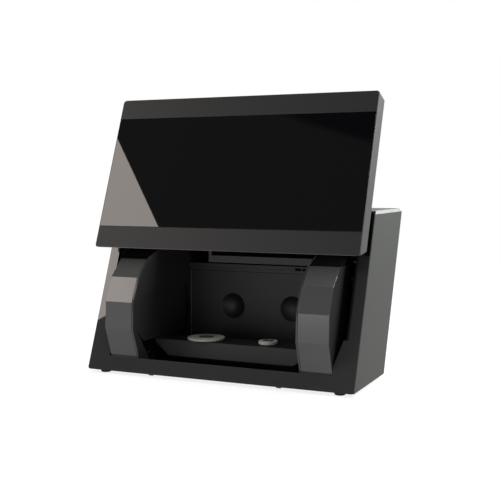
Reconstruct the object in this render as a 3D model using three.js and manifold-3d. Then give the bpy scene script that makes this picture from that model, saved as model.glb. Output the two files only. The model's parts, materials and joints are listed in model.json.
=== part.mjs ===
// Desktop 3D scanner: a leaning casing with an open scan chamber behind a sliding front door.
// Two faceted wings hold a tilting cradle with two turntables; the scan head looks down from above.
// Units are millimetres, +Z is up and +Y points to the rear of the machine.

import * as THREE from 'three';
import { mergeVertices } from 'three/addons/utils/BufferGeometryUtils.js';
import Module from 'manifold-3d';

const wasm = await Module();
wasm.setup();

// Casing
const LEAN = THREE.MathUtils.degToRad(21.2);
const CASE_WIDTH = 410;
const CASE_HEIGHT = 235.6;
const CASE_DEPTH = 143;
const CASE_CORNER = 4;
const FRAME_THICK = 3;
const SIDE_THICK = 6;
const SIDE_CHAMFER = 4.5;
const SIDE_POCKET = 3;
const SIDE_RIM = 12;
const TOP_THICK = 3;
const TOP_LIP = 12;
const TOP_FRONT_LIP = 5;
const BASE_THICK = 2.5;
const HOUSING_WALL = 3;
const REAR_SETBACK = 55;
const REAR_DEPTH = 142;
const REAR_DROP = 30.6;
const REAR_FLAT = 22.5;
const REAR_EAVE = 150;
const HALF_WIDTH = CASE_WIDTH / 2;
const FACE_LENGTH = CASE_HEIGHT / Math.cos(LEAN);
const REAR_HALF_WIDTH = HALF_WIDTH - REAR_SETBACK;
const REAR_Y = CASE_DEPTH + REAR_DEPTH;
const REAR_TOP = CASE_HEIGHT - REAR_DROP;

// Front opening, measured up the leaning face
const OPENING_BOTTOM = 22;
const FRAME_HEAD = 6.7;
const OPENING_TOP = FACE_LENGTH - FRAME_HEAD;
const FRAME_STRIP = 15.5;
const OPENING_EDGE = HALF_WIDTH - FRAME_STRIP;
const SLOT_END = 70.5;
const SLOT_STEP = 6.8;
const SLOT_TAPER_END = 35;

// Door
const DOOR_OVERHANG = 0.3;
const DOOR_COVER = 1.5;
const DOOR_LOWERED = 8.6;
const DOOR_LENGTH = OPENING_TOP + DOOR_COVER - DOOR_LOWERED;
const DOOR_THICK = 25.6;
const DOOR_STANDOFF = 18.6;
const DOOR_HOLD = 71.4;
const DOOR_RAISED = OPENING_TOP - DOOR_HOLD;
const DOOR_CORNER = 5.5;
const DOOR_SKIN = 3.2;
const DOOR_RIM = 4;
const WINDOW_BOTTOM = 33.4;
const WINDOW_HEAD = 32.1;
const WINDOW_TOP = DOOR_LENGTH - WINDOW_HEAD;
const WINDOW_DEPTH = 1.2;

// Wings and their cheeks
const DRUM_SIDES = 16;
const DRUM_RADIUS = 98.8;
const DRUM_PHASE = THREE.MathUtils.degToRad(121.2);
const WING_SETBACK = 33.2;
const WING_WIDTH = 46.7;
const WING_OUTER = HALF_WIDTH - WING_SETBACK;
const WING_INNER = WING_OUTER - WING_WIDTH;
const WING_WALL = 2.5;
const WING_LIP = 8;
const WING_BACK = 34;

// Cradle
const AXIS_Y = 94.5;
const AXIS_Z = 78.5;
const PLATE_RADIUS = 72;
const PLATE_THICK = 3.5;
const BEAM_TOP = 41.3;
const BEAM_BOTTOM = 15.5;
const BEAM_FRONT = 60;
const BEAM_REAR = 108;

// Chamber
const WALL_SPACE = 81.5;
const WALL_THICK = 5;
const WALL_Y = AXIS_Y + WALL_SPACE;
const HEAD_DROP = 13.6;
const HEAD_HEIGHT = 55;
const HEAD_TOP = CASE_HEIGHT - HEAD_DROP;
const HEAD_LOW = HEAD_TOP - HEAD_HEIGHT;
const WALL_SHORT = 32;
const WALL_TOP = HEAD_LOW - WALL_SHORT;

// Clearances
const GAP = 0.3;
const RUN = 0.6;
const SWING_CLEARANCE = 1.3;
const CUT = 1;

// How finely round shapes are divided
const SMALL_SIDES = 12;
const ROUND_SIDES = 24;
const LARGE_SIDES = 36;
const CORNER_STEPS = 5;
const FULL_TURN = 360;

const slope = (z) => z * Math.tan(LEAN);
const along = (thickness) => thickness / Math.cos(LEAN);
const leanPoint = (proud, up) => [
  up * Math.sin(LEAN) - proud * Math.cos(LEAN),
  up * Math.cos(LEAN) + proud * Math.sin(LEAN),
];
const INSIDE_HALF = HALF_WIDTH - SIDE_THICK - GAP;

const FINISH = {
  satin: { color: 0x47474a, roughness: 0.42, metalness: 0.0 },
  gloss: { color: 0x2b2b2c, roughness: 0.12, metalness: 0.0 },
  glass: { color: 0x101012, roughness: 0.05, metalness: 0.0 },
  wing: { color: 0x87847f, roughness: 0.35, metalness: 0.0 },
  matte: { color: 0x2a2a2c, roughness: 0.75, metalness: 0.0 },
  steel: { color: 0x9a9c9f, roughness: 0.35, metalness: 1.0 },
  light: { color: 0xc9c8c4, roughness: 0.5, metalness: 0.0 },
  board: { color: 0x1f5a3a, roughness: 0.6, metalness: 0.0 },
  rubber: { color: 0x161616, roughness: 0.9, metalness: 0.0 },
  lens: { color: 0x1b2430, roughness: 0.05, metalness: 0.0 },
};

// A flat outline as a three.js shape.
function outline(points) {
  return new THREE.Shape(points.map(([a, b]) => new THREE.Vector2(a, b)));
}

function circle(radius, a = 0, b = 0) {
  const shape = new THREE.Shape();
  shape.absarc(a, b, radius, 0, 2 * Math.PI, false);
  return shape;
}

// A rectangle with round corners, given by its edges.
function roundRect(a0, b0, a1, b1, radius) {
  const shape = new THREE.Shape();
  shape.absarc(a1 - radius, b0 + radius, radius, -Math.PI / 2, 0, false);
  shape.absarc(a1 - radius, b1 - radius, radius, 0, Math.PI / 2, false);
  shape.absarc(a0 + radius, b1 - radius, radius, Math.PI / 2, Math.PI, false);
  shape.absarc(a0 + radius, b0 + radius, radius, Math.PI, 1.5 * Math.PI, false);
  shape.closePath();
  return shape;
}

const asShape = (profile) => (Array.isArray(profile) ? outline(profile) : profile);

function extrude(profile, depth, segments) {
  return new THREE.ExtrudeGeometry(asShape(profile), {
    depth, bevelEnabled: false, curveSegments: segments,
  });
}

// Turns a geometry into a solid that can be joined and cut.
function solid(geometry) {
  const bare = geometry.clone();
  bare.deleteAttribute('normal');
  bare.deleteAttribute('uv');
  const merged = mergeVertices(bare, 1e-4);
  return new wasm.Manifold(new wasm.Mesh({
    numProp: 3,
    vertProperties: new Float32Array(merged.attributes.position.array),
    triVerts: new Uint32Array(merged.index.array),
  }));
}

// Prisms along each axis: the outline is in the two other axes, in the order X, Y, Z.
// An arc takes two chords for each of its segments, so a rod asks for half its sides.
function prismX(profile, x0, x1, segments = CORNER_STEPS) {
  const turn = new THREE.Matrix4().makeBasis(
    new THREE.Vector3(0, 1, 0), new THREE.Vector3(0, 0, 1), new THREE.Vector3(1, 0, 0),
  );
  return solid(extrude(profile, x1 - x0, segments).applyMatrix4(turn).translate(x0, 0, 0));
}

function prismY(profile, y0, y1, segments = CORNER_STEPS) {
  const turn = new THREE.Matrix4().makeBasis(
    new THREE.Vector3(1, 0, 0), new THREE.Vector3(0, 0, 1), new THREE.Vector3(0, -1, 0),
  );
  return solid(extrude(profile, y1 - y0, segments).applyMatrix4(turn).translate(0, y1, 0));
}

function prismZ(profile, z0, z1, segments = CORNER_STEPS) {
  return solid(extrude(profile, z1 - z0, segments).translate(0, 0, z0));
}

function block(x0, y0, z0, x1, y1, z1) {
  const box = new THREE.BoxGeometry(x1 - x0, y1 - y0, z1 - z0);
  return solid(box.translate((x0 + x1) / 2, (y0 + y1) / 2, (z0 + z1) / 2));
}

const rodX = (radius, x0, x1, y, z, sides = ROUND_SIDES) => (
  prismX(circle(radius, y, z), x0, x1, sides / 2)
);
const rodY = (radius, y0, y1, x, z, sides = ROUND_SIDES) => (
  prismY(circle(radius, x, z), y0, y1, sides / 2)
);
const rodZ = (radius, z0, z1, x, y, sides = ROUND_SIDES) => (
  prismZ(circle(radius, x, y), z0, z1, sides / 2)
);

// A turned shape about the upright axis, from its half profile of radius and height.
function turned(profile, sides = ROUND_SIDES) {
  const points = profile.map(([radius, height]) => new THREE.Vector2(radius, height));
  return solid(new THREE.LatheGeometry(points, sides).rotateX(Math.PI / 2));
}

const join = (...parts) => parts.reduce((whole, part) => whole.add(part));
const cut = (whole, ...tools) => tools.reduce((rest, tool) => rest.subtract(tool), whole);
const mirror = (part) => part.mirror([1, 0, 0]);

// A named mesh from a finished solid.
function piece(name, body, finish) {
  const mesh = body.getMesh();
  const geometry = new THREE.BufferGeometry();
  geometry.setAttribute('position', new THREE.BufferAttribute(mesh.vertProperties, 3));
  geometry.setIndex(new THREE.BufferAttribute(mesh.triVerts, 1));
  const flat = geometry.toNonIndexed();
  flat.computeVertexNormals();
  const material = new THREE.MeshStandardMaterial({ ...FINISH[finish], flatShading: true });
  const made = new THREE.Mesh(flat, material);
  made.name = name;
  return made;
}

// Both sides of the machine: the right piece and its mirror image.
function pair(name, right, finish) {
  return [piece(`${name}_right`, right, finish), piece(`${name}_left`, mirror(right), finish)];
}

// Casing: the leaning profile shared by the side panels, the frame and the covers.
function sidePanel() {
  const front = along(FRAME_THICK) + GAP;
  const profile = (inset) => [
    [front + slope(inset) + along(inset), inset],
    [CASE_DEPTH + slope(inset) - along(inset), inset],
    [CASE_DEPTH + slope(CASE_HEIGHT - inset) - along(inset), CASE_HEIGHT - inset],
    [front + slope(CASE_HEIGHT - inset) + along(inset), CASE_HEIGHT - inset],
  ];
  const inner = HALF_WIDTH - SIDE_THICK;
  const panel = prismX(profile(0), inner, HALF_WIDTH);
  const chamfer = prismY([
    [HALF_WIDTH - SIDE_CHAMFER, CASE_HEIGHT],
    [HALF_WIDTH, CASE_HEIGHT - SIDE_CHAMFER],
    [HALF_WIDTH + CUT, CASE_HEIGHT + CUT],
  ], -CUT, REAR_Y);
  const pocket = prismX(profile(SIDE_RIM), inner - CUT, inner + SIDE_POCKET);
  const middle = CASE_HEIGHT / 2;
  const rib = prismX([
    [slope(middle - SIDE_POCKET), middle - SIDE_POCKET],
    [CASE_DEPTH + slope(middle - SIDE_POCKET) - along(SIDE_RIM / 2), middle - SIDE_POCKET],
    [CASE_DEPTH + slope(middle + SIDE_POCKET) - along(SIDE_RIM / 2), middle + SIDE_POCKET],
    [slope(middle + SIDE_POCKET), middle + SIDE_POCKET],
  ], inner - CUT, inner + SIDE_POCKET);
  return cut(panel, chamfer, cut(pocket, rib));
}

// The frame is drawn in the leaning plane: X across, Y inwards, Z up the slope.
function openingOutline() {
  const slotFoot = OPENING_EDGE - SLOT_STEP;
  const wingEdge = WING_OUTER + RUN;
  const half = [
    [wingEdge, OPENING_BOTTOM],
    [wingEdge, SLOT_TAPER_END],
    [slotFoot, SLOT_END],
    [OPENING_EDGE, SLOT_END],
    [OPENING_EDGE, OPENING_TOP],
  ];
  return [...half, ...half.map(([x, u]) => [-x, u]).reverse()];
}

function frontFrame() {
  const shift = Math.tan(LEAN) * FRAME_THICK;
  const plate = prismX(
    [[0, 0], [FRAME_THICK, shift], [FRAME_THICK, FACE_LENGTH + shift], [0, FACE_LENGTH]],
    -HALF_WIDTH, HALF_WIDTH,
  );
  const corners = prismY(
    roundRect(-HALF_WIDTH, 0, HALF_WIDTH, FACE_LENGTH + shift + CASE_CORNER, CASE_CORNER),
    -CUT, FRAME_THICK + CUT,
  );
  return cut(plate.intersect(corners), prismY(openingOutline(), -CUT, FRAME_THICK + CUT));
}

function topCover() {
  const front = along(FRAME_THICK) + GAP;
  const wall = along(TOP_THICK);
  const low = CASE_HEIGHT - TOP_LIP;
  const brow = CASE_HEIGHT - TOP_FRONT_LIP;
  const under = CASE_HEIGHT - TOP_THICK;
  return prismX([
    [front + slope(brow), brow],
    [front + slope(brow) + wall, brow],
    [front + slope(under) + wall, under],
    [CASE_DEPTH + slope(under) - wall, under],
    [CASE_DEPTH + slope(low) - wall, low],
    [CASE_DEPTH + slope(low), low],
    [CASE_DEPTH + slope(CASE_HEIGHT), CASE_HEIGHT],
    [front + slope(CASE_HEIGHT), CASE_HEIGHT],
  ], -INSIDE_HALF, INSIDE_HALF);
}

function basePlate() {
  const front = along(FRAME_THICK) + slope(BASE_THICK) + GAP;
  const wide = block(-INSIDE_HALF, front, 0, INSIDE_HALF, CASE_DEPTH, BASE_THICK);
  const inner = REAR_HALF_WIDTH - HOUSING_WALL - GAP;
  const tail = block(-inner, CASE_DEPTH - CUT, 0, inner, REAR_Y - HOUSING_WALL - GAP, BASE_THICK);
  return join(wide, tail);
}

// The rear housing: a leaning flange that closes the back, with a hollow hump behind it.
const REAR_KNEE = REAR_EAVE - HOUSING_WALL;

function rearHousing() {
  const low = BASE_THICK + GAP;
  const high = CASE_HEIGHT - TOP_LIP - GAP;
  const back = (z) => CASE_DEPTH + slope(z);
  const wall = along(HOUSING_WALL);
  const flange = prismX([
    [back(low) - wall, low], [back(low), low], [back(high), high], [back(high) - wall, high],
  ], -INSIDE_HALF, INSIDE_HALF);
  const hump = prismX([
    [back(0) - wall, 0],
    [REAR_Y, 0],
    [REAR_Y, REAR_EAVE],
    [back(REAR_TOP) + REAR_FLAT, REAR_TOP],
    [back(REAR_TOP) - wall, REAR_TOP],
  ], -REAR_HALF_WIDTH, REAR_HALF_WIDTH);
  const inner = REAR_HALF_WIDTH - HOUSING_WALL;
  const hollow = prismX([
    [back(-CUT) - wall - CUT, -CUT],
    [REAR_Y + CUT, -CUT],
    [REAR_Y + CUT, REAR_KNEE],
    [REAR_Y - HOUSING_WALL, REAR_KNEE],
    [back(REAR_TOP) + REAR_FLAT - HOUSING_WALL, REAR_TOP - HOUSING_WALL],
    [back(REAR_TOP) - wall - CUT, REAR_TOP - HOUSING_WALL],
  ], -inner, inner);
  const baseSeat = block(
    -HALF_WIDTH, 0, -CUT, HALF_WIDTH, CASE_DEPTH + GAP, BASE_THICK + GAP,
  );
  return cut(join(flange, hump), hollow, baseSeat);
}

// The rear cover fills the open back of the hump: vent slots, power inlet, switch and socket.
const COVER_HALF = REAR_HALF_WIDTH - HOUSING_WALL - GAP;
const INLET_INSET = 50;
const INLET_X = INLET_INSET - REAR_HALF_WIDTH;
const INLET_Z = 30;
const INLET_WIDTH = 27;
const INLET_HEIGHT = 20;
const INLET_DEPTH = 24;
const SWITCH_OFFSET = 32;
const SWITCH_WIDTH = 15;
const SWITCH_HEIGHT = 21;
const SWITCH_TILT = THREE.MathUtils.degToRad(8);
const SOCKET_OFFSET = 70;
const SOCKET_WIDTH = 12;
const SOCKET_HEIGHT = 11;
const SOCKET_DEPTH = 16;
const VENT_X = 60;
const VENT_LENGTH = 70;
const VENT_HEIGHT = 3;
const VENT_PITCH = 8;
const VENT_COUNT = 9;
const VENT_LOW = 62;

const switchX = INLET_X + SWITCH_OFFSET;
const socketX = INLET_X + SOCKET_OFFSET;

function rearCover() {
  const face = REAR_Y - HOUSING_WALL;
  const plate = block(-COVER_HALF, face, GAP, COVER_HALF, REAR_Y, REAR_KNEE - GAP);
  const window = (x, width, height) => block(
    x - width / 2 - GAP, face - CUT, INLET_Z - height / 2 - GAP,
    x + width / 2 + GAP, REAR_Y + CUT, INLET_Z + height / 2 + GAP,
  );
  const slots = [];
  for (const side of [-1, 1]) {
    for (let row = 0; row < VENT_COUNT; row += 1) {
      const z = VENT_LOW + row * VENT_PITCH;
      const left = side * VENT_X - VENT_LENGTH / 2;
      const slot = roundRect(left, z, left + VENT_LENGTH, z + VENT_HEIGHT, VENT_HEIGHT / 2 - GAP);
      slots.push(prismY(slot, face - CUT, REAR_Y + CUT));
    }
  }
  return cut(plate, ...slots,
    window(INLET_X, INLET_WIDTH, INLET_HEIGHT),
    window(switchX, SWITCH_WIDTH, SWITCH_HEIGHT),
    window(socketX, SOCKET_WIDTH, SOCKET_HEIGHT));
}

// An appliance inlet: a shell round three blades. The data socket is a like shell.
const BLADE_WIDTH = 2;
const BLADE_HEIGHT = 4;
const BLADE_SPREAD = 7;
const BLADE_SET = 7;
const SHELL_WALL = 2;

function socketShell(x, width, height, depth) {
  const body = block(
    x - width / 2, REAR_Y - depth, INLET_Z - height / 2,
    x + width / 2, REAR_Y, INLET_Z + height / 2,
  );
  const well = block(
    x - width / 2 + SHELL_WALL, REAR_Y - depth + SHELL_WALL, INLET_Z - height / 2 + SHELL_WALL,
    x + width / 2 - SHELL_WALL, REAR_Y + CUT, INLET_Z + height / 2 - SHELL_WALL,
  );
  return cut(body, well);
}

function powerInlet() {
  const blades = [-1, 0, 1].map((step) => {
    const x = INLET_X + step * BLADE_SPREAD;
    const z = INLET_Z + (step === 0 ? BLADE_WIDTH : -BLADE_WIDTH);
    return block(
      x - BLADE_WIDTH / 2, REAR_Y - INLET_DEPTH + BLADE_WIDTH / 2, z - BLADE_HEIGHT / 2,
      x + BLADE_WIDTH / 2, REAR_Y - BLADE_SET, z + BLADE_HEIGHT / 2,
    );
  });
  return join(socketShell(INLET_X, INLET_WIDTH, INLET_HEIGHT, INLET_DEPTH), ...blades);
}

// The power switch: a fixed frame with a rocker that tips about a pin line across it.
const SWITCH_DEPTH = 18;
const ROCKER_DEPTH = 10;
const ROCKER_EDGE = 2.5;
const ROCKER_PLAY = 1.2;
const ROCKER_SET = 2.4;

function rocker() {
  const half = SWITCH_HEIGHT / 2 - SHELL_WALL - ROCKER_PLAY;
  const side = SWITCH_WIDTH / 2 - SHELL_WALL - GAP;
  const rise = Math.tan(SWITCH_TILT) * half;
  return prismX([
    [-ROCKER_DEPTH / 2, -ROCKER_EDGE],
    [0, -half],
    [ROCKER_DEPTH / 2 + rise, -half],
    [ROCKER_DEPTH / 2, 0],
    [ROCKER_DEPTH / 2 + rise, half],
    [0, half],
    [-ROCKER_DEPTH / 2, ROCKER_EDGE],
  ], -side, side);
}

// Feet: round rubber pads, widest a little above the floor.
const FOOT_HEIGHT = 5;
const FOOT_RADIUS = 8;
const FOOT_NECK = 6.8;
const FOOT_WAIST = 1.5;
const FOOT_INSET = 23;
const FOOT_FRONT = 14;
const FOOT_REAR_INSET = 30;
const FOOT_REAR_SET = 27;
const footX = HALF_WIDTH - FOOT_INSET;
const footRearX = REAR_HALF_WIDTH - FOOT_REAR_INSET;
const footRear = REAR_Y - FOOT_REAR_SET;

function foot() {
  return turned([
    [0, 0], [FOOT_NECK, 0], [FOOT_RADIUS, FOOT_WAIST],
    [FOOT_NECK, FOOT_HEIGHT - GAP], [0, FOOT_HEIGHT - GAP],
  ]);
}

// Wings: a drum with flat sides round the tilt axis, cut off behind the leaning face.
const drumCorner = (step, radius = DRUM_RADIUS) => {
  const angle = DRUM_PHASE + (step * 2 * Math.PI) / DRUM_SIDES;
  return [AXIS_Y + radius * Math.cos(angle), AXIS_Z + radius * Math.sin(angle)];
};
const DRUM_FIRST = -1;
const DRUM_LAST = 4;
const drumRun = (radius) => {
  const corners = [];
  for (let step = DRUM_FIRST; step <= DRUM_LAST; step += 1) corners.push(drumCorner(step, radius));
  return corners;
};
const lipProud = FRAME_THICK + GAP;
const WING_SHORT = 53;
const WING_TOP_UP = OPENING_TOP - WING_SHORT;
const CHEEK_RISE = 9;
const CHEEK_TOP = HEAD_LOW + CHEEK_RISE;
const THROAT_Y = 5.4;
const THROAT_Z = 64.5;
const THROAT_LOW_Y = 36.2;
const THROAT_LOW_Z = 23.5;
const THROAT_REAR = 110;
const CHEEK_SILL = 41.5;
const CHEEK_STEP = 113;
const CHEEK_SLOT_SET = 19;
const CHEEK_SLOT_WIDTH = 3;
const CHEEK_SLOT_LOW = 75;
const CHEEK_SLOT_TOP = 111;
const holeRadius = PLATE_RADIUS + SWING_CLEARANCE;

// The drum's outer line down to the lip that tucks behind the frame.
function wingFront(inset) {
  const shrunk = DRUM_RADIUS - inset / Math.cos(Math.PI / DRUM_SIDES);
  return [
    ...drumRun(shrunk),
    leanPoint(-lipProud - inset, OPENING_BOTTOM + RUN),
    leanPoint(-lipProud - inset, OPENING_BOTTOM - WING_LIP),
  ];
}

function wingShell() {
  const skin = prismX(
    [...wingFront(0), ...wingFront(WING_WALL).reverse()], WING_INNER + WING_WALL + GAP, WING_OUTER,
  );
  const side = prismX([
    ...wingFront(0),
    leanPoint(-WING_BACK, OPENING_BOTTOM - WING_LIP),
    leanPoint(-WING_BACK, WING_TOP_UP),
  ], WING_OUTER - WING_WALL, WING_OUTER);
  const floor = block(0, -AXIS_Y, -CUT - FOOT_HEIGHT, HALF_WIDTH, REAR_Y, BASE_THICK + GAP);
  return cut(join(skin, side), floor);
}

// The cheek closes the wing's inner side: a round hole for the swing plate below its step,
// and a throat in front of the beam.
function wingCheek() {
  const low = BASE_THICK + GAP;
  const rear = WALL_Y - GAP;
  const plate = prismX([
    ...wingFront(0),
    [slope(low) + along(lipProud), low],
    [rear, low],
    [rear, CHEEK_TOP],
  ], WING_INNER, WING_INNER + WING_WALL);
  const hole = rodX(
    holeRadius, WING_INNER - CUT, WING_INNER + WING_WALL + CUT, AXIS_Y, AXIS_Z, LARGE_SIDES,
  );
  const belowStep = block(0, 0, 0, HALF_WIDTH, REAR_Y, CHEEK_STEP);
  const fall = (THROAT_LOW_Y - THROAT_Y) / (THROAT_Z - THROAT_LOW_Z);
  const throat = prismX([
    [THROAT_Y, THROAT_Z],
    [THROAT_Y + fall * (THROAT_Z + CUT), -CUT],
    [THROAT_REAR, -CUT],
    [THROAT_REAR, CHEEK_SILL],
    [THROAT_Y + (THROAT_Z - CHEEK_SILL), CHEEK_SILL],
  ], WING_INNER - CUT, WING_INNER + WING_WALL + CUT);
  const slotY = WALL_Y - CHEEK_SLOT_SET;
  const slot = block(
    WING_INNER - CUT, slotY - CHEEK_SLOT_WIDTH / 2, CHEEK_SLOT_LOW,
    WING_INNER + WING_WALL + CUT, slotY + CHEEK_SLOT_WIDTH / 2, CHEEK_SLOT_TOP,
  );
  return cut(plate, hole.intersect(belowStep), throat, slot);
}

// Chamber rear wall with two round dishes, and the stepped rail along its top edge.
const DISH_X = 50.3;
const DISH_Z = 80.3;
const DISH_RADIUS = 20;
const DISH_DEPTH = 7;
const DISH_WALL = 1.8;
const DISH_STEPS = 5;
const RAIL_HEIGHT = 6;
const RAIL_STEP = 4;
const RAIL_DEPTH = 9;
const CATCH_LENGTH = 20;
const CATCH_INSET = 6;
const CATCH_DROP = 3.5;
const wallHalf = WING_INNER - GAP;

function dish(extra) {
  const sphere = (DISH_RADIUS ** 2 + DISH_DEPTH ** 2) / (2 * DISH_DEPTH);
  const reach = Math.asin(DISH_RADIUS / sphere);
  const profile = [new THREE.Vector2(0, sphere + extra)];
  for (let step = 1; step <= DISH_STEPS; step += 1) {
    const angle = (reach * step) / DISH_STEPS;
    const r = (sphere + extra) * Math.sin(angle);
    profile.push(new THREE.Vector2(r, (sphere + extra) * Math.cos(angle)));
  }
  const front = (sphere + extra) * Math.cos(reach) - extra - CUT;
  profile.push(new THREE.Vector2((sphere + extra) * Math.sin(reach), front));
  profile.push(new THREE.Vector2(0, front));
  const bowl = new THREE.LatheGeometry(profile.reverse(), ROUND_SIDES);
  return solid(bowl.translate(0, -sphere * Math.cos(reach), 0));
}

function chamberWall() {
  const sheet = block(
    -wallHalf, WALL_Y, BASE_THICK + GAP, wallHalf, WALL_Y + WALL_THICK, WALL_TOP,
  );
  const bulges = [];
  const hollows = [];
  for (const side of [-1, 1]) {
    bulges.push(dish(DISH_WALL).translate([side * DISH_X, WALL_Y, DISH_Z]));
    hollows.push(dish(0).translate([side * DISH_X, WALL_Y, DISH_Z]));
  }
  return cut(join(sheet, ...bulges), ...hollows).intersect(
    block(-wallHalf, WALL_Y, 0, wallHalf, REAR_Y, CASE_HEIGHT),
  );
}

// A two-step rail above the wall: an upper strip set forward of the lower one, and a catch
// under its right end.
function wallRail() {
  const low = WALL_TOP + GAP;
  const mid = low + RAIL_HEIGHT;
  const catchRight = wallHalf - CATCH_INSET;
  const railCatch = block(
    catchRight - CATCH_LENGTH, WALL_Y - RAIL_DEPTH, mid - CATCH_DROP,
    catchRight, WALL_Y - RAIL_STEP + CUT, mid + CUT,
  );
  const rail = prismX([
    [WALL_Y - RAIL_STEP, low],
    [WALL_Y + WALL_THICK, low],
    [WALL_Y + WALL_THICK, mid + RAIL_HEIGHT],
    [WALL_Y - RAIL_DEPTH, mid + RAIL_HEIGHT],
    [WALL_Y - RAIL_DEPTH, mid],
    [WALL_Y - RAIL_STEP, mid],
  ], -wallHalf, wallHalf);
  return join(rail, railCatch);
}

// Scan head: a housing under the top cover, open below, with a lip along its lower front edge.
const HEAD_LEFT = -50;
const HEAD_FRONT = 96;
const HEAD_DEPTH = 76;
const HEAD_WALL = 2.5;
const LIP_HEIGHT = 10.5;
const LIP_LOW = HEAD_LOW - LIP_HEIGHT;
const LIP_DEPTH = 6;
const TAB_WIDTH = 5;
const TAB_RISE = 7;
const TAB_TOP = HEAD_LOW + TAB_RISE;
const headRight = WING_INNER - GAP;
const headRear = HEAD_FRONT + HEAD_DEPTH;
const headMiddle = (HEAD_LEFT + headRight) / 2;

function headCover() {
  const shell = block(HEAD_LEFT, HEAD_FRONT, HEAD_LOW, headRight, headRear, HEAD_TOP);
  const tab = block(
    HEAD_LEFT, HEAD_FRONT - LIP_DEPTH, LIP_LOW, HEAD_LEFT + TAB_WIDTH, HEAD_FRONT + CUT, TAB_TOP,
  );
  const lip = block(
    HEAD_LEFT, HEAD_FRONT - LIP_DEPTH, LIP_LOW, headRight, HEAD_FRONT + HEAD_WALL, HEAD_LOW,
  );
  const hollow = block(
    HEAD_LEFT + HEAD_WALL, HEAD_FRONT + HEAD_WALL, HEAD_LOW - CUT,
    headRight - HEAD_WALL, headRear - HEAD_WALL, HEAD_TOP - HEAD_WALL,
  );
  return join(cut(shell, hollow), lip, tab);
}

// Side chassis plates stand on the base and carry the door rails and the head beam.
const CHASSIS_SETBACK = 12;
const CHASSIS_OUTER = HALF_WIDTH - CHASSIS_SETBACK;
const CHASSIS_THICK = 2.5;
const CHASSIS_DROP = 6.6;
const CHASSIS_TOP = CASE_HEIGHT - CHASSIS_DROP;
const CHASSIS_SET = 4;
const chassisInner = CHASSIS_OUTER - CHASSIS_THICK;

function chassisSide() {
  const low = BASE_THICK + GAP;
  const front = (z) => slope(z) + along(CHASSIS_SET);
  const back = (z) => CASE_DEPTH + slope(z) - along(HOUSING_WALL) - GAP;
  return prismX([
    [front(low), low], [back(low), low],
    [back(CHASSIS_TOP - TOP_LIP), CHASSIS_TOP - TOP_LIP],
    [back(CHASSIS_TOP) - TOP_LIP, CHASSIS_TOP],
    [front(CHASSIS_TOP), CHASSIS_TOP],
  ], chassisInner, CHASSIS_OUTER);
}

const HEAD_BEAM_FRONT = 118;
const HEAD_BEAM_REAR = 158;
const HEAD_BEAM_HEIGHT = 4;

function headBeam() {
  const half = chassisInner - GAP;
  const low = HEAD_TOP + GAP;
  const flat = block(-half, HEAD_BEAM_FRONT, low, half, HEAD_BEAM_REAR, low + HEAD_BEAM_HEIGHT);
  const under = block(
    -half - CUT, HEAD_BEAM_FRONT + HEAD_WALL, low - CUT,
    HEAD_LEFT - GAP, HEAD_BEAM_REAR - HEAD_WALL, low + HEAD_BEAM_HEIGHT - HEAD_WALL / 2,
  );
  return cut(flat, under);
}

// Projector and cameras hang from the roof of the head cover and look down.
const CAMERA_INSET = 32;
const CAMERA_SIZE = 26;
const CAMERA_LENS = 9;
const PROJECTOR_WIDTH = 46;
const PROJECTOR_DEPTH = 58;
const PROJECTOR_LENS = 15;
const OPTIC_RISE = 23;
const LENS_RISE = 5;
const OPTIC_BODY_LOW = HEAD_LOW + OPTIC_RISE;
const OPTIC_LENS_LOW = HEAD_LOW + LENS_RISE;
const LENS_RING = 2;
const LENS_CUP = 3;
const headMiddleY = (HEAD_FRONT + headRear) / 2;
const opticTop = HEAD_TOP - HEAD_WALL - GAP;

function opticBody(x, width, depth) {
  return block(
    x - width / 2, headMiddleY - depth / 2, OPTIC_BODY_LOW,
    x + width / 2, headMiddleY + depth / 2, opticTop,
  );
}

function opticLens(x, radius) {
  const low = OPTIC_LENS_LOW;
  const high = OPTIC_BODY_LOW - GAP;
  return turned([
    [0, low + LENS_CUP], [radius - LENS_RING, low + LENS_CUP], [radius - LENS_RING, low],
    [radius, low], [radius, high - LENS_CUP], [radius - LENS_RING, high], [0, high],
  ]).translate([x, headMiddleY, 0]);
}

// Door rails: T bars along the slope, inside the chassis plates, drawn in the leaning plane.
const RAIL_BOTTOM = 26;
const RAIL_OVER = 1;
const RAIL_TOP = OPENING_TOP + RAIL_OVER;
const RAIL_NEAR = 5;
const RAIL_FAR = 13;
const RAIL_FOOT = 2.2;
const RAIL_HEAD = 4;
const RAIL_WEB = 3;
const railMiddle = (RAIL_NEAR + RAIL_FAR) / 2;

function doorRail() {
  const foot1 = chassisInner - GAP;
  const foot0 = foot1 - RAIL_FOOT;
  const bar = block(foot0, RAIL_NEAR, RAIL_BOTTOM, foot1, RAIL_FAR, RAIL_TOP);
  const tongue = block(
    foot0 - RAIL_HEAD, railMiddle - RAIL_WEB / 2, RAIL_BOTTOM,
    foot0 + RAIL_FOOT / 2, railMiddle + RAIL_WEB / 2, RAIL_TOP,
  );
  return join(bar, tongue);
}

// Door, drawn from its own lower edge up the slope; Y counts inwards from the leaning face.
const DOOR_CHAMFER = 1.2;
const DOOR_RELIEF = 4.4;
const DOOR_RIB = 2.4;
const DOOR_RIB_DEPTH = 12;
const DOOR_RIB_X = 62;
const DOOR_RIB_DROP = 42.9;
const DOOR_RIB_UP = DOOR_LENGTH - DOOR_RIB_DROP;
const WINDOW_MARGIN = 1.2;
const doorHalf = HALF_WIDTH + DOOR_OVERHANG;
const doorFace = -(DOOR_STANDOFF + DOOR_THICK);
const doorBack = -DOOR_STANDOFF;

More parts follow.
